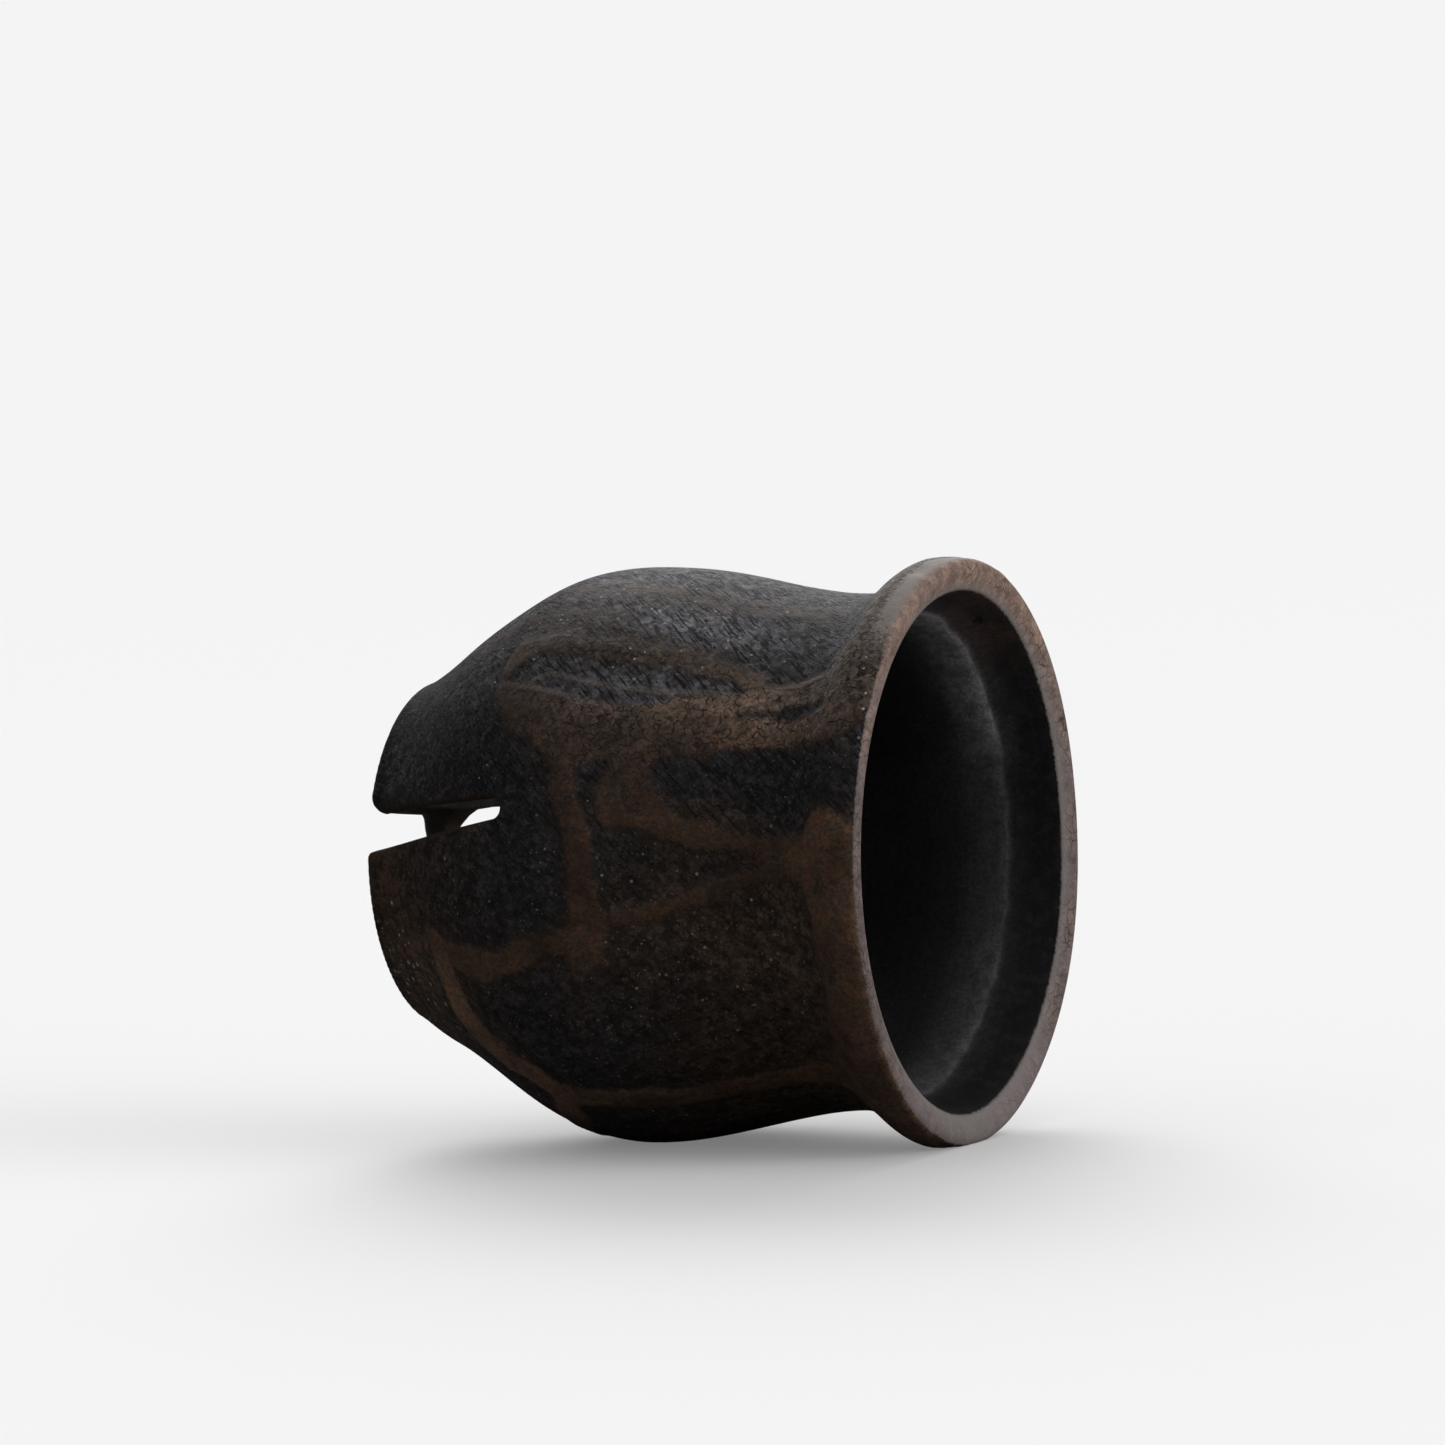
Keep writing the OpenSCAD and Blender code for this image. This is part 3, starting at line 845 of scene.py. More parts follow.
COOL_SPOTS = [(1.0, 104, 16, 8, 12), (0.6, 82, 2, 12, 6)]

along_out, angle_up = outside_points[..., 0], angle_of(outside_points)
out = slice(0, len(outside_points))
lip = slice(out.stop, out.stop + len(lip_rows))
inner = slice(lip.stop, lip.stop + len(inside_points))


def soft_step(value, low, high):
    t = np.clip((value - low) / (high - low), 0, 1)
    return t * t * (3 - 2 * t)


def spot(gain, x, angle, reach_x, reach_angle):
    """A soft round patch on the outside."""
    return gain * np.exp(-((along_out - x) / reach_x) ** 2 - ((angle_up - angle) / reach_angle) ** 2)


def spots(rows):
    return sum(spot(*row) for row in rows)


def outside_mark(values, elsewhere=0.0):
    """A number for every point of the skin, from the values on the outside."""
    everywhere = np.full((row_count, columns), elsewhere)
    everywhere[out] = values
    return everywhere


tone = strap_tone.copy()
for rows in SLIP_TONE_AND_PAINTED_LIGHT_SPOTS:
    tone *= 1 + spots(rows)
broad_crackle = np.exp(-((angle_up - CRACKLE_ANGLE) / CRACKLE_REACH) ** 2) * soft_step(along_out, 30, 52)
crackle = CRACKLE_LEAST + (1 - CRACKLE_LEAST) * broad_crackle + spots(CRACKLE_SPOTS)
marks = {
    "strap": outside_mark(np.minimum(strap_distance, DISTANCE_CAP), DISTANCE_CAP),
    "seam": outside_mark(np.minimum(seam_distance, DISTANCE_CAP), DISTANCE_CAP),
    "film": outside_mark(soft_step(-film_distance, -2.0, 2.0)),
    "tone": outside_mark(tone, 1.0),
    "shade": outside_mark(1 + spots(CLAY_TONE_AND_PAINTED_LIGHT_SPOTS), 1.0),
    "sandy": outside_mark(spots(SANDY_SPOTS)),
    "scuff": outside_mark(spots(SCUFF_SPOTS)),
    "crackle": outside_mark(crackle),
}
print("marks on the outside:", ", ".join(marks))

# %% [markdown]
# The other marks follow from where a point lies: warm brown clay on the lower part, the rubbed lip, the
# sawn slot, and on the inside the pale band behind the ridge and the dark throat before it. Each border is
# a smooth step, so that none of them looks cut out.

# %% Mark the warm clay, the lip, the sawn slot and the inside
RIM_SHARE_OUTSIDE, BAND_FADES_OVER = 0.9, 3.4

from_axis = np.hypot(outside_points[..., 1], outside_points[..., 2])
rise = np.degrees(np.arcsin(outside_points[..., 2] / from_axis))
warm = 0.3 + 0.7 * soft_step(along_out, 56, 80) + 0.7 * soft_step(-along_out, -20, -9)
warm = np.clip(warm, 0, 1) * soft_step(-rise, -22, -2)
for cool in COOL_SPOTS:
    warm = warm * (1 - spot(*cool))
marks["warm"] = outside_mark(warm)

top_of_lip = soft_step(angle_up, 37, 58) * soft_step(-angle_up, -165, -120)
rubbed_outside = RIM_SHARE_OUTSIDE * top_of_lip * soft_step(along_out, 102.5, 107.5)
marks["rim"] = outside_mark(np.maximum(soft_step(along_out, 108.9, 109.8), rubbed_outside))
marks["rim"][lip] = 1.0
marks["rim"][inner] = soft_step(inside_points[::-1, :, 0], 107.9, 108.8)

marks["sawn"] = outside_mark(1 - soft_step(outside_rows[..., 2], 0.2, 1.8))
marks["sawn"][-len(wall_rows):] = 1.0

behind_lip, above = past_ridge[::-1], inside_points[::-1, :, 2]
band_tone = 0.27 + 2.0 * soft_step(above, 5, 34) + 0.2 * soft_step(-above, 12, 42)
for name, values in (
    ("inside", 1 - marks["rim"][inner]),
    ("throat", 0.85 * soft_step(behind_lip, -0.3, 0.6) + 0.15 * soft_step(behind_lip, 0.5, 6.0)),
    ("band", np.exp(-np.maximum(-behind_lip, 0) / BAND_FADES_OVER) * band_tone),
):
    marks[name] = np.zeros((row_count, columns))
    marks[name][inner] = values
print("%d marks in all" % len(marks))

# %% [markdown]
# Every modelled piece is made in the same way: a mesh from points and faces, smooth shading, faces that
# look outwards, and the solid that it stands in for hidden. A boolean or a modifier could build some of
# them, but points from a formula give clean four-sided faces. The shell is the first piece, and it carries
# the marks.

# %% Make the shell
def add_piece(name, points, faces, body, node, slot):
    """A smooth mesh that rides on a body in place of its solid."""
    mesh = bpy.data.meshes.new(name)
    mesh.from_pydata(points.tolist(), [], faces)
    mesh.polygons.foreach_set("use_smooth", [True] * len(mesh.polygons))
    solid = bmesh.new()
    solid.from_mesh(mesh)
    volume = solid.calc_volume(signed=True)
    solid.free()
    if volume < 0:
        mesh.flip_normals()
    print("%s: %d faces, %.2f cm3" % (name, len(mesh.polygons), abs(volume) * 1e6))
    piece = bpy.data.objects.new(name, mesh)
    bpy.context.scene.collection.objects.link(piece)
    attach(piece, body)
    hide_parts(node)
    return piece


shell = add_piece("clay_shell", skin_metres, skin_faces, "bell", "bell_shell", "black_clay")
for name, values in marks.items():
    shell.data.attributes.new(name, "FLOAT", "POINT").data.foreach_set("value", values.ravel())

# %% [markdown]
# ## Shared clay effects
# Some effects return on several pieces, so each is a node group with its own inputs: the drag of a cord-
# wrapped paddle, sand and grit in the clay, drying cracks, lines left by turning, and clouds left by the
# smoke of the kiln.

# %% A helper that opens a node group
def new_group(name, inputs, outputs):
    """Opens a group with a place in mm and named numbers as its inputs."""
    global tree
    tree = bpy.data.node_groups.new(name, "ShaderNodeTree")
    tree.interface.new_socket("Place", in_out="INPUT", socket_type="NodeSocketVector")
    for label, value in inputs.items():
        tree.interface.new_socket(label, in_out="INPUT", socket_type="NodeSocketFloat").default_value = value
    for label in outputs:
        tree.interface.new_socket(label, in_out="OUTPUT", socket_type="NodeSocketFloat")
    print("group opened:", name)
    return tree, tree.nodes.new("NodeGroupInput").outputs, tree.nodes.new("NodeGroupOutput").inputs


print("group helper ready")

# %% [markdown]
# A paddle wound with cord was dragged over the soft clay, and left fine dark strokes that lean a little.
# They could be cut as hundreds of grooves, but they are finer than the faces of the skin. So they are noise
# that is stretched along the bell, at a place that twists about the axis with the distance along it.

# %% Drag of a cord-wrapped paddle
cord_drag, given, result = new_group("Cord drag", {"Lean": -0.018, "Pitch": 0.80, "Length": 4.0}, ["Stroke"])
twist = add_node("VectorRotate", rotation_type="X_AXIS")
twist.inputs["Center"].default_value = (0.0, 0.0, AXIS_HEIGHT)
feed(twist.inputs["Vector"], given["Place"])
feed(twist.inputs["Angle"], times(split(given["Place"])["X"], given["Lean"]))
stretch = add_node("CombineXYZ")
feed_all(stretch.inputs, (times(given["Pitch"], given["Length"]), given["Pitch"], given["Pitch"]))
dragged = cloud(twist.outputs[0], stretch.outputs[0], 2.5, 0.6)
feed(result["Stroke"], ease(dragged, 0.535, 0.605))

# %% [markdown]
# Potters mix sand into clay so that it survives the fire, and some grains show as pale specks. As meshes
# they would be far too many. A Voronoi texture gives every grain a cell of its own, and the cell's random
# colour decides how large the grain is, whether it shows, and its tone.

# %% Sand in the clay
def lumpy_cells(place, size, **settings):
    """Cells of about the given size in mm, as from a heap of grains."""
    node = add_node("TexVoronoi", **settings)
    feed(node.inputs["Vector"], move("DIVIDE", place, size))
    node.inputs["Scale"].default_value = 1.0
    return node.outputs


sand, given, result = new_group(
    "Sand in clay", {"Spacing": 1.0, "Largest": 0.25, "Share": 0.3}, ["Grain", "Tone"])
cells = lumpy_cells(given["Place"], given["Spacing"])
chance = split(cells["Color"], "SeparateColor")
radius = over(times(given["Largest"], ease(chance[0], 0.0, 1.0, 0.45, 1.0)), given["Spacing"])
grain = ease(cells["Distance"], radius, times(radius, 0.45))
picked = calc("LESS_THAN", chance[1], given["Share"])
feed(result["Grain"], times(grain, picked))
feed(result["Tone"], chance[2])

# %% [markdown]
# Between the sand the clay itself is crumbly. The same cells do for it, but packed close: each crumb has
# its own tone and its own height.

# %% Grit of the clay itself
gritty, given, result = new_group("Clay grit", {"Size": 0.45}, ["Tone", "Height"])
crumbs = lumpy_cells(given["Place"], given["Size"])
crumb_tone = split(crumbs["Color"], "SeparateColor")
feed(result["Tone"], crumb_tone[0])
feed(result["Height"], times(ease(crumbs["Distance"], 0.8, 0.1), crumb_tone[1]))

# %% [markdown]
# Slip shrinks as it dries, and cracks into small plates. A Voronoi texture can measure the distance to the
# edges of its cells, which are just such a net. The place is bent by noise first, since real cracks wander
# and the edges of cells are straight.

# %% Drying cracks
drying, given, result = new_group("Drying cracks", {"Cell": 1.4, "Width": 0.08, "Waver": 0.6}, ["Crack"])
bend = add_node("TexNoise")
feed(bend.inputs["Vector"], move("DIVIDE", given["Place"], given["Cell"]))
bend.inputs["Scale"].default_value = 0.8
sideways = move("MULTIPLY", move("SUBTRACT", bend.outputs["Color"], (0.5, 0.5, 0.5)), given["Waver"])
plates = lumpy_cells(move("ADD", given["Place"], sideways), given["Cell"], feature="DISTANCE_TO_EDGE")
gap = over(given["Width"], given["Cell"])
feed(result["Crack"], ease(plates["Distance"], gap, times(gap, 0.2)))

# %% [markdown]
# The inside and the crown were smoothed by turning, which leaves lines round the axis. A wave texture would
# give even rings, so noise is used instead: it changes quickly along the axis and slowly round it.

# %% Lines left by turning
turning, given, result = new_group("Turning lines", {"Pitch": 0.7, "Drift": 1.5}, ["Line"])
centred = move("SUBTRACT", given["Place"], (0.0, 0.0, AXIS_HEIGHT))
round_axis = move("NORMALIZE", move("MULTIPLY", centred, (0.0, 1.0, 1.0)))
step_along = add_node("CombineXYZ")
feed(step_along.inputs["X"], over(split(centred)["X"], given["Pitch"]))
swirl = move("ADD", step_along.outputs[0], move("MULTIPLY", round_axis, given["Drift"]))
feed(result["Line"], ease(cloud(swirl, 1.0, 3.0, 0.6), 0.32, 0.68))

# %% [markdown]
# Smoke in the kiln stained the clay in clouds. One broad noise gives the clouds, and a much finer one gives
# flecks for the grain and the relief.

# %% Clouds of kiln smoke
smoke, given, result = new_group("Kiln smoke", {"Size": 25.0}, ["Cloud", "Fleck"])
feed(result["Cloud"], ease(cloud(given["Place"], given["Size"], 4.0, 0.6), 0.36, 0.64))
feed(result["Fleck"], cloud(given["Place"], times(given["Size"], 0.03), 3.0, 0.65))

# %% [markdown]
# Every finish starts in the same way, with a Principled shader and the place on the piece in millimetres.
# Object coordinates serve for the place, because they stay with a piece when it swings.

# %% Helpers that start a material
def place_group(group, place, **values):
    node = add_node("Group", node_tree=group)
    feed(node.inputs["Place"], place)
    for name, value in values.items():
        feed(node.inputs[name], value)
    return node.outputs


def start_finish(name, roughness, specular=0.5):
    """Opens a material with one Principled shader; also gives the place on the piece in mm."""
    global tree
    finish = bpy.data.materials.new(name)
    finish.use_nodes = True
    tree = finish.node_tree
    shader = next(n for n in tree.nodes if n.type == "BSDF_PRINCIPLED")
    shader.inputs["Roughness"].default_value = roughness
    shader.inputs["Specular IOR Level"].default_value = specular
    place = move("MULTIPLY", add_node("TexCoord").outputs["Object"], (1000.0, 1000.0, 1000.0))
    return finish, shader, place


def relief(shader, height):
    """Bump from a height in mm."""
    bump = add_node("Bump")
    bump.inputs["Strength"].default_value = 1.0
    bump.inputs["Distance"].default_value = 0.001
    feed(bump.inputs["Height"], height)
    feed(shader.inputs["Normal"], bump.outputs["Normal"])


def mark(name):
    """One of the marks on the shell's skin."""
    return add_node("Attribute", attribute_name=name).outputs["Fac"]


print("material helpers ready")

# %% [markdown]
# ## The shell's smoked clay
# Between the straps the clay is blue-black and gritty, dragged by the cord; the straps are smooth brown
# slip with fine cracks and pin holes. The lip is rubbed to a pinkish grey, the inside is smooth and dark,
# and the sawn slot shows brown clay. One shader mixes them by the marks on the skin, with noise at each
# border.

# %% Start the shell's clay, with a mask for each zone
smoked_clay, shader, place = start_finish("smoked_clay", 0.68, 0.12)
clouds = place_group(smoke, place, Size=24.0)
blotch = place_group(smoke, place, Size=9.0)
grit = place_group(gritty, place, Size=0.48)
crumb = place_group(gritty, place, Size=1.3)
drag = place_group(cord_drag, place)
along, _, height = split(place)
# How high a point lies on the bell; up there the grey is partly dust and partly painted sheen.
high = times(ease(height, 74.0, 106.0), ease(along, -30.0, 0.0, 0.8, 1.0))
paddled = ease(height, 40.0, 80.0, 0.3, 1.0)

ragged = times(minus(cloud(place, 1.3, 5.0, 0.65), 0.5), 2.4)
strap_edge = plus(mark("strap"), ragged)
mottle = cloud(place, 2.8, 4.0, 0.65)
strap_here = times(ease(strap_edge, 0.8, -0.8), ease(mottle, 0.55, 0.72, 1.0, 0.45))
halo = times(ease(strap_edge, 4.0, 0.0), ease(mottle, 0.4, 0.6, 0.05, 0.5))
film_here = times(mark("film"), ease(mottle, 0.40, 0.64, 0.9, 0.2))
covered = most(strap_here, film_here)
bare = minus(1.0, covered)
print("masks for straps, films and bare clay")

# %% [markdown]
# The bare clay is mixed from the dark up: blue-black or brown-black by the marks, grey where it is high,
# partly dust and partly painted sheen of the light from above, then crumbs, strokes of the cord and sand.
# All this could be painted into an image, but an image has only one sharpness, and nodes stay sharp however
# near the camera comes.

# %% Gritty clay between the straps
BLUE_BLACK, BROWN_BLACK = (0.0185, 0.0178, 0.0200), (0.046, 0.031, 0.0215)
DUST_AND_SHEEN_GREY = (0.108, 0.104, 0.113)
SAND_PALE, SAND_TAN, HALO_BROWN = (0.31, 0.285, 0.255), (0.115, 0.080, 0.054), (0.034, 0.022, 0.015)
STROKE_BLACK, LINE_BLACK = (0.006, 0.0055, 0.006), (0.010, 0.0095, 0.010)

warm = plus(mark("warm"), sloped(clouds["Cloud"], 0.5, -0.25), clamp=True)
clay = tint(warm, BLUE_BLACK, BROWN_BLACK)
# Grey high on the bell: partly dust, partly painted sheen of the light from above.
clay = tint(times(high, 0.72), clay, DUST_AND_SHEEN_GREY)
speckle = times(minus(grit["Tone"], 0.5), ease(high, 0.0, 1.0, 0.85, 0.7))
clay = shaded(clay, plus(speckle, 1.05))
clay = shaded(clay, ease(crumb["Tone"], 0.0, 1.0, 0.65, 1.4))
clay = shaded(clay, ease(mottle, 0.25, 0.75, 1.45, 0.6))
# Lighter and darker spots on the bare clay: partly its own tone, partly painted light and shade.
clay = shaded(clay, mark("shade"))
clay = tint(halo, clay, HALO_BROWN)
stroke = times(drag["Stroke"], paddled)
clay = tint(times(stroke, 0.85), clay, STROKE_BLACK)
crown_zone = ease(along, -22.0, -34.0)
turned_line = times(place_group(turning, place, Pitch=0.55, Drift=2.2)["Line"], crown_zone)
clay = tint(times(turned_line, 0.45), clay, LINE_BLACK)
sandy = plus(ease(blotch["Cloud"], 0.0, 1.0, 0.03, 0.21), times(mark("sandy"), 0.55))
coarse = place_group(sand, place, Spacing=1.25, Largest=0.48, Share=sandy)
fine = place_group(sand, place, Spacing=0.72, Largest=0.26, Share=sandy)
sand_here = most(times(coarse["Grain"], 0.8), times(fine["Grain"], 0.65))
clay = tint(sand_here, clay, tint(ease(coarse["Tone"], 0.6, 1.0), SAND_TAN, SAND_PALE))
# Pale specks high up, where the light from above falls, are painted glints.
painted_glint_share = ease(high, 0.2, 0.7, 0.004, 0.4)
painted_glint = place_group(sand, place, Spacing=1.7, Largest=0.34, Share=painted_glint_share)["Grain"]
print("gritty clay mixed")

# %% [markdown]
# The slip is brown, greyer in patches and greyer on top, partly from dust and partly as painted sheen of the
# light from above, with a net of cracks and a few pin holes. It is mixed as a colour of its own and laid over
# the clay by the mask, so that either can be changed without the other.

# %% Smooth slip on the straps
STRAP_BROWN, STRAP_GREY = (0.062, 0.0315, 0.0172), (0.047, 0.031, 0.0220)
STRAP_DUST_AND_SHEEN, CRACK_DARK = (0.096, 0.076, 0.064), (0.009, 0.0065, 0.0055)
RIDGE_PAINTED_HIGHLIGHT, PAINTED_GLINT_PALE = (0.16, 0.135, 0.115), (0.48, 0.46, 0.44)

slip = tint(ease(mottle, 0.3, 0.65), STRAP_BROWN, STRAP_GREY)
slip = shaded(slip, ease(blotch["Cloud"], 0.0, 1.0, 1.2, 0.8))
# Greyer towards the top: partly dust, partly painted sheen of the light from above.
slip = tint(ease(height, 66.0, 104.0, 0.0, 0.75), slip, STRAP_DUST_AND_SHEEN)
# The slip's tone by strap, with spots that are partly painted light and shade.
slip = shaded(slip, times(mark("tone"), ease(grit["Tone"], 0.0, 1.0, 0.75, 1.25)))
crack_width = ease(high, 0.0, 1.0, 0.16, 0.30)
crazed = place_group(drying, place, Cell=1.7, Width=crack_width, Waver=1.6)["Crack"]
crack_patches = ease(cloud(place, 1.5, 3.0, 0.6), 0.42, 0.58, 0.1, 1.0)
crazed = times(crazed, times(mark("crackle"), crack_patches))
plate_tone = times(minus(crumb["Tone"], 0.5), times(mark("crackle"), 0.8))
slip = shaded(slip, plus(plate_tone, 1.0))
pits = place_group(sand, place, Spacing=1.9, Largest=0.22, Share=0.4)["Grain"]
slip = tint(most(times(crazed, 0.9), times(pits, 0.8)), slip, CRACK_DARK)
slip = tint(times(fine["Grain"], 0.25), slip, SAND_TAN)
colour = tint(covered, clay, slip)
# The thin raised rims are painted paler along them: a painted highlight.
seam_here = ease(plus(mark("seam"), times(ragged, 0.4)), 0.25, -0.35)
colour = tint(times(seam_here, 0.45), colour, RIDGE_PAINTED_HIGHLIGHT)
# The painted glints lie over the clay and the slip.
colour = tint(times(painted_glint, 0.8), colour, PAINTED_GLINT_PALE)
print("slip mixed over the clay")

# %% [markdown]
# The saw bared brown clay in the slot, one side of the crown is scuffed to pale grains, and the lip is
# rubbed to a pinkish grey with hairline cracks and pores. They lie over all the rest, so they are mixed in
# last, each by its own mark.

# %% Sawn slot, scuffed crown and rubbed lip
SAWN_BROWN, SCUFF_PALE = (0.030, 0.020, 0.013), (0.34, 0.325, 0.31)
RIM_BROWN, RIM_GREY = (0.30, 0.205, 0.162), (0.168, 0.134, 0.127)
RIM_FOOT, RIM_OUTER, PORE_BROWN = (0.215, 0.190, 0.188), (0.225, 0.203, 0.194), (0.05, 0.038, 0.034)

colour = tint(times(mark("sawn"), 0.8), colour, SAWN_BROWN)
scuff = mark("scuff")
scuffed = place_group(sand, place, Spacing=1.4, Largest=0.6, Share=times(scuff, 0.7))["Grain"]
colour = tint(times(scuffed, 0.8), colour, SCUFF_PALE)
rim_noise = times(minus(cloud(place, 0.9, 4.0, 0.65), 0.5), 1.3)
rim = ease(plus(mark("rim"), rim_noise), 0.25, 0.75)
rim_high = ease(height, 62.0, 104.0, -0.1, 0.75)
rubbed = tint(plus(times(blotch["Cloud"], 0.3), rim_high, clamp=True), RIM_GREY, RIM_BROWN)
rubbed = shaded(rubbed, ease(grit["Tone"], 0.0, 1.0, 0.8, 1.15))
hairline = place_group(drying, place, Cell=2.6, Width=0.11, Waver=1.8)["Crack"]
hairline = times(hairline, ease(cloud(place, 9.0, 2.0), 0.4, 0.6, 0.1, 1.0))
pores = place_group(sand, place, Spacing=1.0, Largest=0.22, Share=0.4)["Grain"]
rubbed = tint(most(times(hairline, 0.75), times(pores, 0.6)), rubbed, PORE_BROWN)
rubbed = shaded(rubbed, ease(mottle, 0.3, 0.7, 1.25, 0.7))
rubbed = tint(ease(height, 24.0, 4.0, 0.0, 0.55), rubbed, RIM_FOOT)
rubbed = tint(ease(along, 57.0, 55.6, 0.0, 0.8), rubbed, RIM_OUTER)
colour = tint(rim, colour, rubbed)
print("lip, slot and scuffs mixed in")

# %% [markdown]
# The inside was smoothed, so it has only faint lines, a pale band behind the ridge, and a dark, stained
# throat between the ridge and the lip, with one small pock. It could have a material of its own, but in one
# material the border between the inside and the lip stays soft.

# %% The smooth inside
INSIDE_GREY, INSIDE_DARK = (0.038, 0.0365, 0.040), (0.021, 0.0195, 0.0205)
THROAT_DARK, THROAT_BROWN = (0.0045, 0.0039, 0.0046), (0.011, 0.0085, 0.0080)
THROAT_RUST, BAND_PALE = (0.036, 0.0195, 0.0135), (0.20, 0.193, 0.202)
POCK_AT, POCK_BLACK = (50.8, 21.8, 96.4), (0.001, 0.001, 0.001)

inside = mark("inside")
lathe_line = place_group(turning, place, Pitch=1.1, Drift=1.3)["Line"]
lining = tint(sloped(lathe_line, 0.15, times(clouds["Cloud"], 0.6)), INSIDE_DARK, INSIDE_GREY)
band = times(mark("band"), ease(cloud(place, 3.0, 4.0, 0.65), 0.3, 0.7, 0.35, 1.0))
lining = tint(times(band, 0.85), lining, BAND_PALE)
throat_stain = tint(ease(mottle, 0.45, 0.65), THROAT_DARK, THROAT_BROWN)
rusty = times(ease(height, 80.0, 98.0), ease(clouds["Cloud"], 0.2, 0.8, 0.25, 0.9))
throat_stain = tint(rusty, throat_stain, THROAT_RUST)
pock = ease(plus(move("DISTANCE", place, POCK_AT), times(ragged, 0.8)), 1.5, 0.7)
throat_stain = tint(pock, throat_stain, POCK_BLACK)
lining = tint(times(mark("throat"), 0.97), lining, throat_stain)
lining = shaded(lining, ease(grit["Tone"], 0.0, 1.0, 0.8, 1.2))
lining = tint(times(coarse["Grain"], 0.10), lining, SAND_TAN)
colour = tint(inside, colour, lining)
feed(shader.inputs["Base Color"], colour)
print("inside mixed in")

# %% [markdown]
# Fired clay is dull, and the slip a little less so. The grain is far finer than the faces of the skin, so
# it is bump: each zone has a height in millimetres, and the masks that mixed the colours mix the heights
# too.

# %% Roughness and relief of the shell
rough = plus(sloped(covered, -0.08, 0.72), ease(along, -6.0, -24.0, 0.0, 0.26))
rough = plus(rough, ease(height, 84.0, 106.0, 0.0, 0.07))
rough = plus(rough, times(minus(blotch["Fleck"], 0.5), 0.3))
feed(shader.inputs["Roughness"], plus(rough, times(inside, -0.08), clamp=True))

clay_height = sloped(blotch["Fleck"], 0.25, times(grit["Height"], 0.16))
clay_height = plus(clay_height, times(crumb["Height"], 0.12))
clay_height = plus(clay_height, times(sand_here, 0.12))
clay_height = minus(clay_height, sloped(stroke, 0.3, times(turned_line, 0.08)))
slip_height = sloped(blotch["Fleck"], 0.10, sloped(grit["Height"], 0.04, 0.26))
slip_height = minus(slip_height, times(crazed, 0.14))
slip_height = minus(slip_height, times(pits, 0.12))
outer_height = plus(times(clay_height, bare), times(slip_height, covered))
uneven = sloped(cloud(place, 4.5, 2.0), 0.5, times(seam_here, 0.25))
outer_height = plus(outer_height, uneven)
lip_height = minus(times(blotch["Fleck"], 0.12), times(hairline, 0.08))
smooth_height = sloped(clouds["Fleck"], 0.08, times(lathe_line, 0.02))
smooth_height = minus(smooth_height, times(pock, 0.4))
skin_height = plus(times(outer_height, minus(1.0, rim)), times(lip_height, rim))
skin_height = plus(times(skin_height, minus(1.0, inside)), times(smooth_height, inside))
relief(shader, skin_height)
shell.data.materials.append(smoked_clay)
print("shell finished with %d nodes" % len(tree.nodes))

# %% [markdown]
# ## The hanger bar
# A short stick of brown clay was luted across the slot while the shell was soft, so its ends spread into
# the walls, most of all above and towards the mouth. It is modelled as rings stacked across the slot, each
# with its own radius, and its ends run a little into the walls, as luted clay does.

# %% Model the hanger bar
HANGER_AT, HANGER_GAP, HANGER_RADIUS, HANGER_RUN_IN = (1.2, 0.0, 3.46), 7.68, 3.3, 1.4
FOOT_SPREAD, MOUTH_SPREAD = 1.5, 3.0


def stacked(heights, radius_at, origin, turn, sides=72, uneven=0.0, grain=3.0):
    """A closed stick of rings: heights along its own Z, and a radius for every height and angle."""
    angle = np.linspace(0, 2 * np.pi, sides, endpoint=False)
    h, a = np.meshgrid(heights, angle, indexing="ij")
    r = radius_at(h, a)
    p = np.stack([r * np.cos(a), r * np.sin(a), h], -1).reshape(-1, 3)
    p[:, :2] *= 1 + uneven * lumps(p, grain)[:, None]
    p = np.vstack([p, [[0, 0, heights[0]], [0, 0, heights[-1]]]]) @ np.asarray(turn).T + origin
    faces = []
    for first in range(0, (len(heights) - 1) * sides, sides):
        for j in range(sides):
            after = (j + 1) % sides
            faces.append((first + j, first + after, first + sides + after, first + sides + j))
    last = (len(heights) - 1) * sides
    faces += [((j + 1) % sides, j, len(p) - 2) for j in range(sides)]
    faces += [(last + j, last + (j + 1) % sides, len(p) - 1) for j in range(sides)]
    return in_frame(p), faces


def hanger_radius(h, a):
    to_wall = np.clip(np.abs(h) / (HANGER_GAP / 2), 0, 1)
    towards_mouth = np.clip(np.cos(a), 0, 1) ** 1.5
    spread = FOOT_SPREAD * to_wall**5 * (0.3 + 0.7 * towards_mouth)
    return HANGER_RADIUS + spread + MOUTH_SPREAD * towards_mouth * soft_step(h, 0.2, HANGER_GAP / 2)


hanger_half = HANGER_GAP / 2 + HANGER_RUN_IN
hanger_stick = stacked(
    np.linspace(-hanger_half, hanger_half, 45), hanger_radius, HANGER_AT, SLOT_TURN, uneven=0.05, grain=2.2)
hanger = add_piece("hanger_stick", *hanger_stick, "bell", "hanger_bar", "bare_clay")

# %% [markdown]
# ## The crossbar, pads and beads
# Inside the belly a rolled stick of clay carries the clapper. A pad of clay is pressed round each end, and
# two barrel beads keep the clapper in the middle. They are round about the stick, so an outline of distance
# and radius is turned into a ring; a slow noise takes off the look of a lathe.

# %% A helper that turns an outline into a ring
ALONG_BAR = np.array(Matrix.Rotation(math.radians(-90), 3, "X"))
BAR_AT = (45.0, 0.0, 0.0)


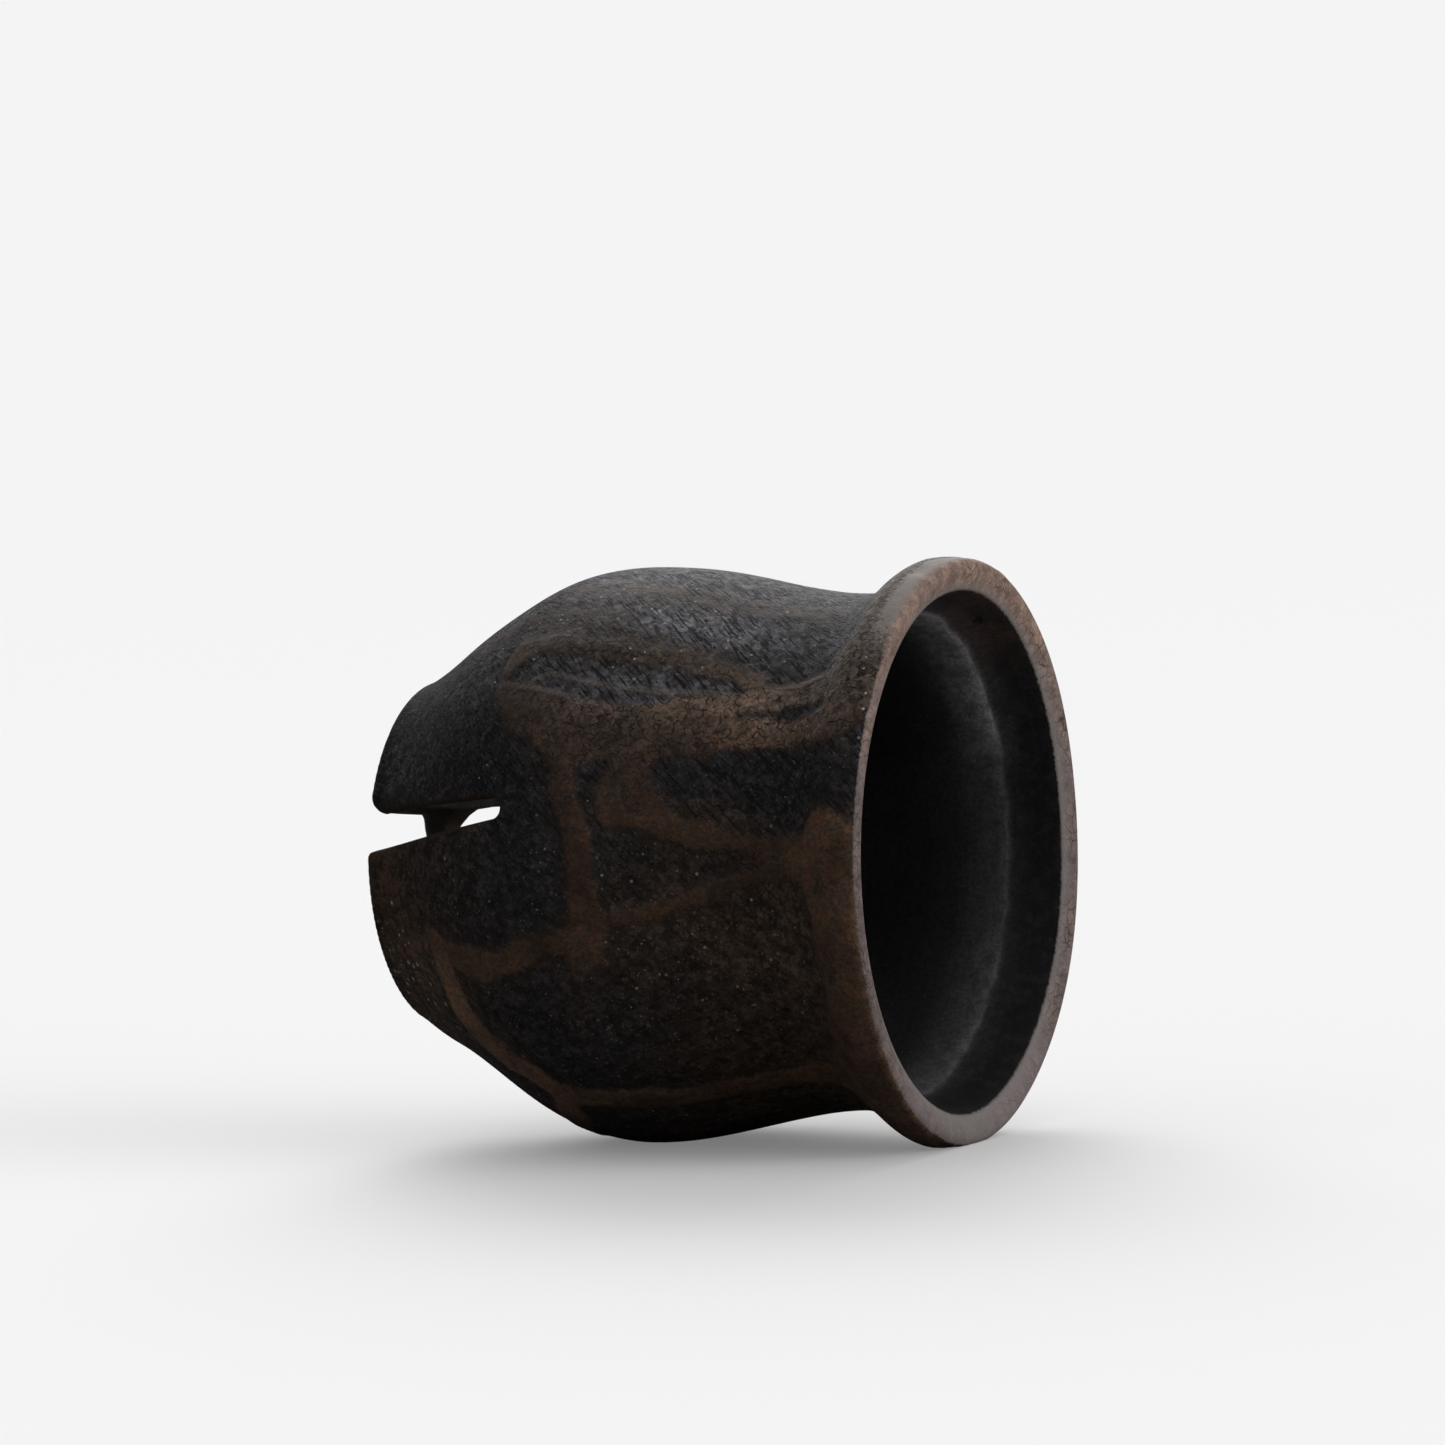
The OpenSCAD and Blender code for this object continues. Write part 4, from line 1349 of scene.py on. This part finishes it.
def turned(outline, origin, turn, sides=64, uneven=0.0, grain=3.0):
    """A closed ring: an outline of (distance along its own Z, radius), turned about that Z."""
    outline = np.asarray(outline, float)
    angle = np.linspace(0, 2 * np.pi, sides, endpoint=False)
    h, a = np.meshgrid(outline[:, 0], angle, indexing="ij")
    r = outline[:, 1][:, None] + 0 * a
    p = np.stack([r * np.cos(a), r * np.sin(a), h], -1).reshape(-1, 3)
    p += uneven * np.array([noise.noise_vector(Vector(q) / grain) for q in p])
    return in_frame(p @ np.asarray(turn).T + origin), closed_faces(*h.shape)


def softened(corners, count=6):
    """A closed outline from corners of (distance, radius, softness), each corner bent over its softness."""
    points = np.array([c[:2] for c in corners], float)
    t = np.linspace(0, 1, count)[:, None]
    bends = []
    for k, (_, _, soft) in enumerate(corners):
        here, before, after = points[k], points[k - 1], points[(k + 1) % len(points)]
        start = here + soft * (before - here) / np.linalg.norm(before - here)
        end = here + soft * (after - here) / np.linalg.norm(after - here)
        bends.append((1 - t) ** 2 * start + 2 * t * (1 - t) * here + t**2 * end)
    return np.vstack(bends)


print("ring helpers ready")

# %% Model the crossbar and what sits on it
BAR_RADIUS, BAR_HALF = 2.44, 52.2
PAD_FROM, PAD_DEEP, PAD_RISE, PAD_TO, PAD_RADIUS, PAD_BORE = 44.6, 5.0, 3.9, 50.4, 6.5, 2.3
PAD_ROOT, PAD_CURVE = 2.6, 1.9
BEAD_AT, BEAD_HALF, BEAD_BORE, BEAD_END, BEAD_SWELL = 6.5, 4.0, 2.52, 3.5, 1.45
WAIST_AT, WAIST_DEEP, WAIST_WIDE, BEAD_RIM, END_SOFT = 1.2, 0.16, 0.3, 3.3, 0.25


def bar_piece(name, solid, node, slot):
    return add_piece(name, *solid, "bell", node, slot)


crossbar_stick = stacked(
    np.linspace(-BAR_HALF, BAR_HALF, 150), lambda h, a: BAR_RADIUS + 0 * h, BAR_AT, ALONG_BAR, sides=40,
    uneven=0.03, grain=5.0)
crossbar = bar_piece("rolled_crossbar", crossbar_stick, "clapper_bar", "bare_clay")

pad_slope = np.linspace(0, 1, 16)
skirt = np.stack([PAD_FROM + PAD_DEEP * pad_slope, PAD_ROOT + PAD_RISE * pad_slope**PAD_CURVE], 1)
pad_back = softened([(PAD_TO, PAD_RADIUS, 0.2), (PAD_TO, PAD_BORE, 0.2), (PAD_FROM, PAD_BORE, 0.1)], 3)
barrel = np.linspace(-BEAD_HALF + END_SOFT, BEAD_HALF - END_SOFT, 31)
waist_lines = WAIST_DEEP * sum(np.exp(-((barrel - at) / WAIST_WIDE) ** 2) for at in (WAIST_AT, -WAIST_AT))
barrel_radius = BEAD_END + BEAD_SWELL * (1 - (barrel / BEAD_HALF) ** 2) - waist_lines
barrel_outline = np.stack([barrel, barrel_radius], 1)
bead_ends = softened([
    (BEAD_HALF, BEAD_RIM, 0.2), (BEAD_HALF, BEAD_BORE, 0.15),
    (-BEAD_HALF, BEAD_BORE, 0.15), (-BEAD_HALF, BEAD_RIM, 0.2),
], 4)
pads, beads = [], []
for name, side in (("left", -1), ("right", 1)):
    pad = turned(
        np.vstack([skirt, pad_back]) * (side, 1), BAR_AT, ALONG_BAR, sides=56, uneven=0.22, grain=3.5
    )
    pads.append(bar_piece("pressed_pad_" + name, pad, "bar_pad_" + name, "black_clay"))
    bead_outline = np.vstack([barrel_outline, bead_ends]) + (side * BEAD_AT, 0)
    bead = turned(bead_outline, BAR_AT, ALONG_BAR, sides=56, uneven=0.05, grain=2.0)
    beads.append(bar_piece("rolled_bead_" + name, bead, "spacer_bead_" + name, "bare_clay"))

# %% [markdown]
# ## The clapper
# A forged rod with an eye hangs on the crossbar. It carries a turned wooden ball between a washer and a
# riveted burr. The rod and its eye are two closed shapes joined with a boolean, as a smith welds them into
# one.

# %% Model the clapper
REST_ANGLE = math.radians(47.588)
ALONG_SHANK = np.array(Matrix.Rotation(math.pi / 2 + REST_ANGLE, 3, "Y"))
SHANK_RADIUS, SHANK_SWELL, SWELL_FROM, SWELL_TO, SHANK_TOP = 1.7, 0.55, 5.0, 12.0, 4.2
PEENED_FROM, PEENED_OVER, PEEN_ROUND, SMALLEST_END = 55.2, 0.8, 0.85, 0.02
HAMMERED, HAMMERED_TO, HAMMER_FADE = 0.02, 36, 3


def shank_radius(h, a):
    """Swollen at the eye, four-sided from the hammer above the ball, and rounded off at the riveted end."""
    swell = SHANK_SWELL * (1 - soft_step(h, SWELL_FROM, SWELL_TO))
    past_ball = np.clip(h - PEENED_FROM, 0, PEENED_OVER)
    peened = np.sqrt(np.clip(1 - (past_ball / PEEN_ROUND) ** 2, SMALLEST_END, 1))
    hammered = 1 + HAMMERED * np.cos(4 * a) * soft_step(HAMMERED_TO - h, 0, HAMMER_FADE)
    return (SHANK_RADIUS + swell) * peened * hammered


def clapper_piece(name, solid, node, slot):
    return add_piece(name, *solid, "clapper", node, slot)


shank_heights = np.concatenate([
    np.linspace(SHANK_TOP, PEENED_FROM, 90), np.linspace(PEENED_FROM + 0.1, PEENED_FROM + 0.75, 6)])
shank_rod = stacked(shank_heights, shank_radius, BAR_AT, ALONG_SHANK, sides=40, uneven=0.03, grain=2.5)
shank = clapper_piece("forged_shank", shank_rod, "clapper_shank", "wrought_iron")

# %% Weld the eye to the shank
EYE_HALF, EYE_BORE, EYE_RADIUS, BORE_SOFT, RIM_SOFT = 2.2, 2.6, 5.45, 0.5, 1.1

eye_outline = softened([
    (-EYE_HALF, EYE_BORE, BORE_SOFT), (-EYE_HALF, EYE_RADIUS, RIM_SOFT),
    (EYE_HALF, EYE_RADIUS, RIM_SOFT), (EYE_HALF, EYE_BORE, BORE_SOFT),
], 7)
eye_points, eye_faces = turned(eye_outline, BAR_AT, ALONG_BAR, sides=72, uneven=0.03, grain=1.6)
eye_mesh = bpy.data.meshes.new("eye")
eye_mesh.from_pydata(eye_points.tolist(), [], [face[::-1] for face in eye_faces])
eye = bpy.data.objects.new("eye", eye_mesh)
bpy.context.scene.collection.objects.link(eye)
weld = shank.modifiers.new("weld", "BOOLEAN")
weld.operation, weld.solver, weld.object = "UNION", "EXACT", eye
welded = bpy.data.meshes.new_from_object(shank.evaluated_get(bpy.context.evaluated_depsgraph_get()))
shank.modifiers.clear()
shank.data = welded
bpy.data.objects.remove(eye)
welded.polygons.foreach_set("use_smooth", [True] * len(welded.polygons))
print("shank and eye welded: %d faces" % len(welded.polygons))

# %% [markdown]
# The ball was turned on a lathe, with four fine lines round its middle, and bored for the rod. The washer
# lies above it and the burr below. A ready-made sphere would have neither flats nor a bore, so all three
# are outlines that are turned about the rod.

# %% Model the ball, washer and burr
BALL_AT, BALL_RADIUS, BALL_FLAT, BALL_BORE, BALL_RIM = 46.0, 10.5, 8.8, 1.72, 5.45
LINES_AT, LINE_DEEP, LINE_WIDE = (-2.3, -0.9, 0.9, 2.3), 0.28, 0.28
HOLE_RADIUS, HOLE_SOFT = 1.75, 0.1
WASHER_FROM, WASHER_TO, WASHER_RADIUS, WASHER_SOFT = 36.0, 37.2, 4.15, 0.45
BURR_FROM, BURR_TO, BURR_RADIUS, BURR_END_RADIUS = 54.8, 55.95, 2.6, 2.45

belt = np.linspace(-BALL_FLAT + END_SOFT, BALL_FLAT - END_SOFT, 70)
turned_lines = sum(LINE_DEEP * np.exp(-((belt - at) / LINE_WIDE) ** 2) for at in LINES_AT)
ball_ends = softened([
    (BALL_FLAT, BALL_RIM, 0.3), (BALL_FLAT, BALL_BORE, 0.2),
    (-BALL_FLAT, BALL_BORE, 0.2), (-BALL_FLAT, BALL_RIM, 0.3),
], 4)
ball_belt = np.stack([belt, np.sqrt(BALL_RADIUS**2 - belt**2) - turned_lines], 1)
ball_outline = np.vstack([ball_belt, ball_ends]) + (BALL_AT, 0)
washer_outline = softened([
    (WASHER_FROM, HOLE_RADIUS, HOLE_SOFT), (WASHER_FROM, WASHER_RADIUS, WASHER_SOFT),
    (WASHER_TO, WASHER_RADIUS, WASHER_SOFT), (WASHER_TO, HOLE_RADIUS, HOLE_SOFT),
], 5)
burr_outline = softened([
    (BURR_FROM, HOLE_RADIUS, HOLE_SOFT), (BURR_FROM, BURR_RADIUS, 0.2),
    (BURR_TO, BURR_END_RADIUS, 0.6), (BURR_TO, HOLE_RADIUS, HOLE_SOFT),
], 5)
ball, washer, burr = (
    clapper_piece(name, turned(outline, BAR_AT, ALONG_SHANK, sides, uneven, grain), node, slot)
    for name, outline, sides, uneven, grain, node, slot in (
        ("turned_ball", ball_outline, 96, 0.02, 6.0, "clapper_bob", "hardwood"),
        ("iron_washer", washer_outline, 56, 0.04, 1.5, "bob_washer", "wrought_iron"),
        ("rivet_burr", burr_outline, 48, 0.05, 1.2, "bob_burr", "wrought_iron"),
    )
)

# %% [markdown]
# ## Finishes of the small pieces
# Bare clay is warm brown, and the hanger bar, deep in the sawn slot, is painted darkest, as painted shade.
# The pads are sooty, forged iron is dark with rust in its hollows, and the ball is oiled wood whose grain
# runs along the shank. The same groups that made the shell's clay give each of them its own grain and stains.

# %% Finish the bare clay
HANGER_PAINTED_SHADE = 0.2
CLAY_WARM, CLAY_DULL, CLAY_CLOUDED = (0.17, 0.098, 0.054), (0.085, 0.058, 0.040), (0.075, 0.052, 0.036)
CLAY_SAND, CLAY_CRACK = (0.22, 0.17, 0.13), (0.012, 0.009, 0.007)

bare_clay, shader, place = start_finish("bare_clay", 0.75, 0.3)
clouds = place_group(smoke, place, Size=9.0)
grains = place_group(sand, place, Spacing=0.9, Largest=0.26, Share=0.35)
crazed = place_group(drying, place, Cell=1.6, Width=0.07, Waver=0.8)["Crack"]
colour = tint(ease(clouds["Fleck"], 0.4, 0.6), CLAY_WARM, CLAY_DULL)
colour = tint(times(clouds["Cloud"], 0.5), colour, CLAY_CLOUDED)
colour = tint(times(grains["Grain"], 0.5), colour, CLAY_SAND)
colour = tint(times(crazed, 0.35), colour, CLAY_CRACK)
# The hanger bar sits deep in the sawn slot, and its clay is painted darker: painted shade.
colour = shaded(colour, ease(split(place)["X"], -42.0, -30.0, HANGER_PAINTED_SHADE, 1.0))
feed(shader.inputs["Base Color"], colour)
feed(shader.inputs["Roughness"], sloped(clouds["Fleck"], 0.3, 0.58))
bumps = sloped(clouds["Fleck"], 0.18, times(grains["Grain"], 0.05))
relief(shader, minus(bumps, times(crazed, 0.03)))
for piece in (hanger, crossbar, *beads):
    piece.data.materials.append(bare_clay)
print("bare clay on", 2 + len(beads), "pieces")

# %% [markdown]
# The pads were pressed on by hand and took the kiln's soot, so they are nearly black with a few grains of
# sand. The shell's own clay could serve, but it needs marks that only the shell has.

# %% Finish the pressed pads
SOOT_BLACK, SOOT_BROWN, SOOT_SAND = (0.036, 0.033, 0.032), (0.055, 0.043, 0.036), (0.20, 0.17, 0.15)

pad_clay, shader, place = start_finish("sooty_clay", 0.72, 0.3)
clouds = place_group(smoke, place, Size=7.0)
grains = place_group(sand, place, Spacing=0.8, Largest=0.24, Share=0.3)
colour = tint(clouds["Cloud"], SOOT_BLACK, SOOT_BROWN)
feed(shader.inputs["Base Color"], tint(times(grains["Grain"], 0.5), colour, SOOT_SAND))
feed(shader.inputs["Roughness"], sloped(clouds["Fleck"], 0.3, 0.55))
relief(shader, sloped(clouds["Fleck"], 0.25, times(grains["Grain"], 0.06)))
for piece in pads:
    piece.data.materials.append(pad_clay)
print("sooty clay on", len(pads), "pieces")

# %% [markdown]
# Forged iron is dark, with rust in its hollows. Rust is no metal, so where it lies the shader is less
# metallic, and rougher and browner too. The hammer's marks are a broad, soft bump.

# %% Finish the forged iron
IRON_DARK, RUST_BROWN, PIT_DARK = (0.10, 0.095, 0.09), (0.11, 0.047, 0.022), (0.03, 0.022, 0.018)

forged_iron, shader, place = start_finish("forged_iron", 0.5)
clouds = place_group(smoke, place, Size=5.0)
pitted = place_group(sand, place, Spacing=0.7, Largest=0.3, Share=0.4)
rust = ease(clouds["Cloud"], 0.35, 0.75)
colour = tint(rust, IRON_DARK, RUST_BROWN)
feed(shader.inputs["Base Color"], tint(times(pitted["Grain"], 0.6), colour, PIT_DARK))
feed(shader.inputs["Metallic"], sloped(rust, -0.75, 0.85))
feed(shader.inputs["Roughness"], sloped(rust, 0.32, sloped(clouds["Fleck"], 0.25, 0.32)))
hammered = cloud(place, 2.4, 1.0, 0.4)
relief(shader, minus(sloped(hammered, 0.35, times(clouds["Fleck"], 0.08)), times(pitted["Grain"], 0.07)))
for piece in (shank, washer, burr):
    piece.data.materials.append(forged_iron)
print("forged iron on 3 pieces")

# %% [markdown]
# The ball's grain runs along the rod. On a ball, an image of wood would show a seam, but a wave texture in
# space cuts through its rings as the lathe does. The place is first turned back by the angle at which the
# rod hangs, so that the rings lie along the rod.

# %% Finish the wooden ball
WOOD_LIGHT, WOOD_DARK = (0.20, 0.094, 0.040), (0.105, 0.045, 0.019)
FIBRE_DARK, WOOD_STAIN = (0.045, 0.020, 0.010), (0.03, 0.018, 0.012)
FIBRE_SIZE, FROM_THE_PITH = (0.35, 0.35, 6.0), (16.0, 5.0, 0.0)

oiled_wood, shader, place = start_finish("oiled_wood", 0.45)
turn_back = add_node("VectorRotate", rotation_type="Y_AXIS")
turn_back.inputs["Center"].default_value = tuple(1000 * in_frame(BAR_AT))
turn_back.inputs["Angle"].default_value = -(math.pi / 2 + REST_ANGLE)
feed(turn_back.inputs["Vector"], place)
fibres = move("DIVIDE", turn_back.outputs[0], FIBRE_SIZE)
fibre = cloud(fibres, 1.0, 3.0, 0.6)
year_rings = add_node("TexWave", wave_type="RINGS", rings_direction="Z")
for name, value in (("Scale", 0.16), ("Distortion", 1.6), ("Detail", 2.0), ("Detail Scale", 0.3)):
    year_rings.inputs[name].default_value = value
feed(year_rings.inputs["Vector"], move("ADD", turn_back.outputs[0], FROM_THE_PITH))
clouds = place_group(smoke, place, Size=8.0)
colour = tint(year_rings.outputs["Fac"], WOOD_LIGHT, WOOD_DARK)
colour = tint(ease(fibre, 0.5, 0.7, 0.0, 0.6), colour, FIBRE_DARK)
colour = tint(ease(clouds["Cloud"], 0.5, 1.0, 0.0, 0.4), colour, WOOD_STAIN)
feed(shader.inputs["Base Color"], colour)
feed(shader.inputs["Roughness"], sloped(fibre, 0.3, 0.3))
relief(shader, sloped(fibre, -0.10, times(clouds["Fleck"], 0.03)))
ball.data.materials.append(oiled_wood)
print("oiled wood on the ball")
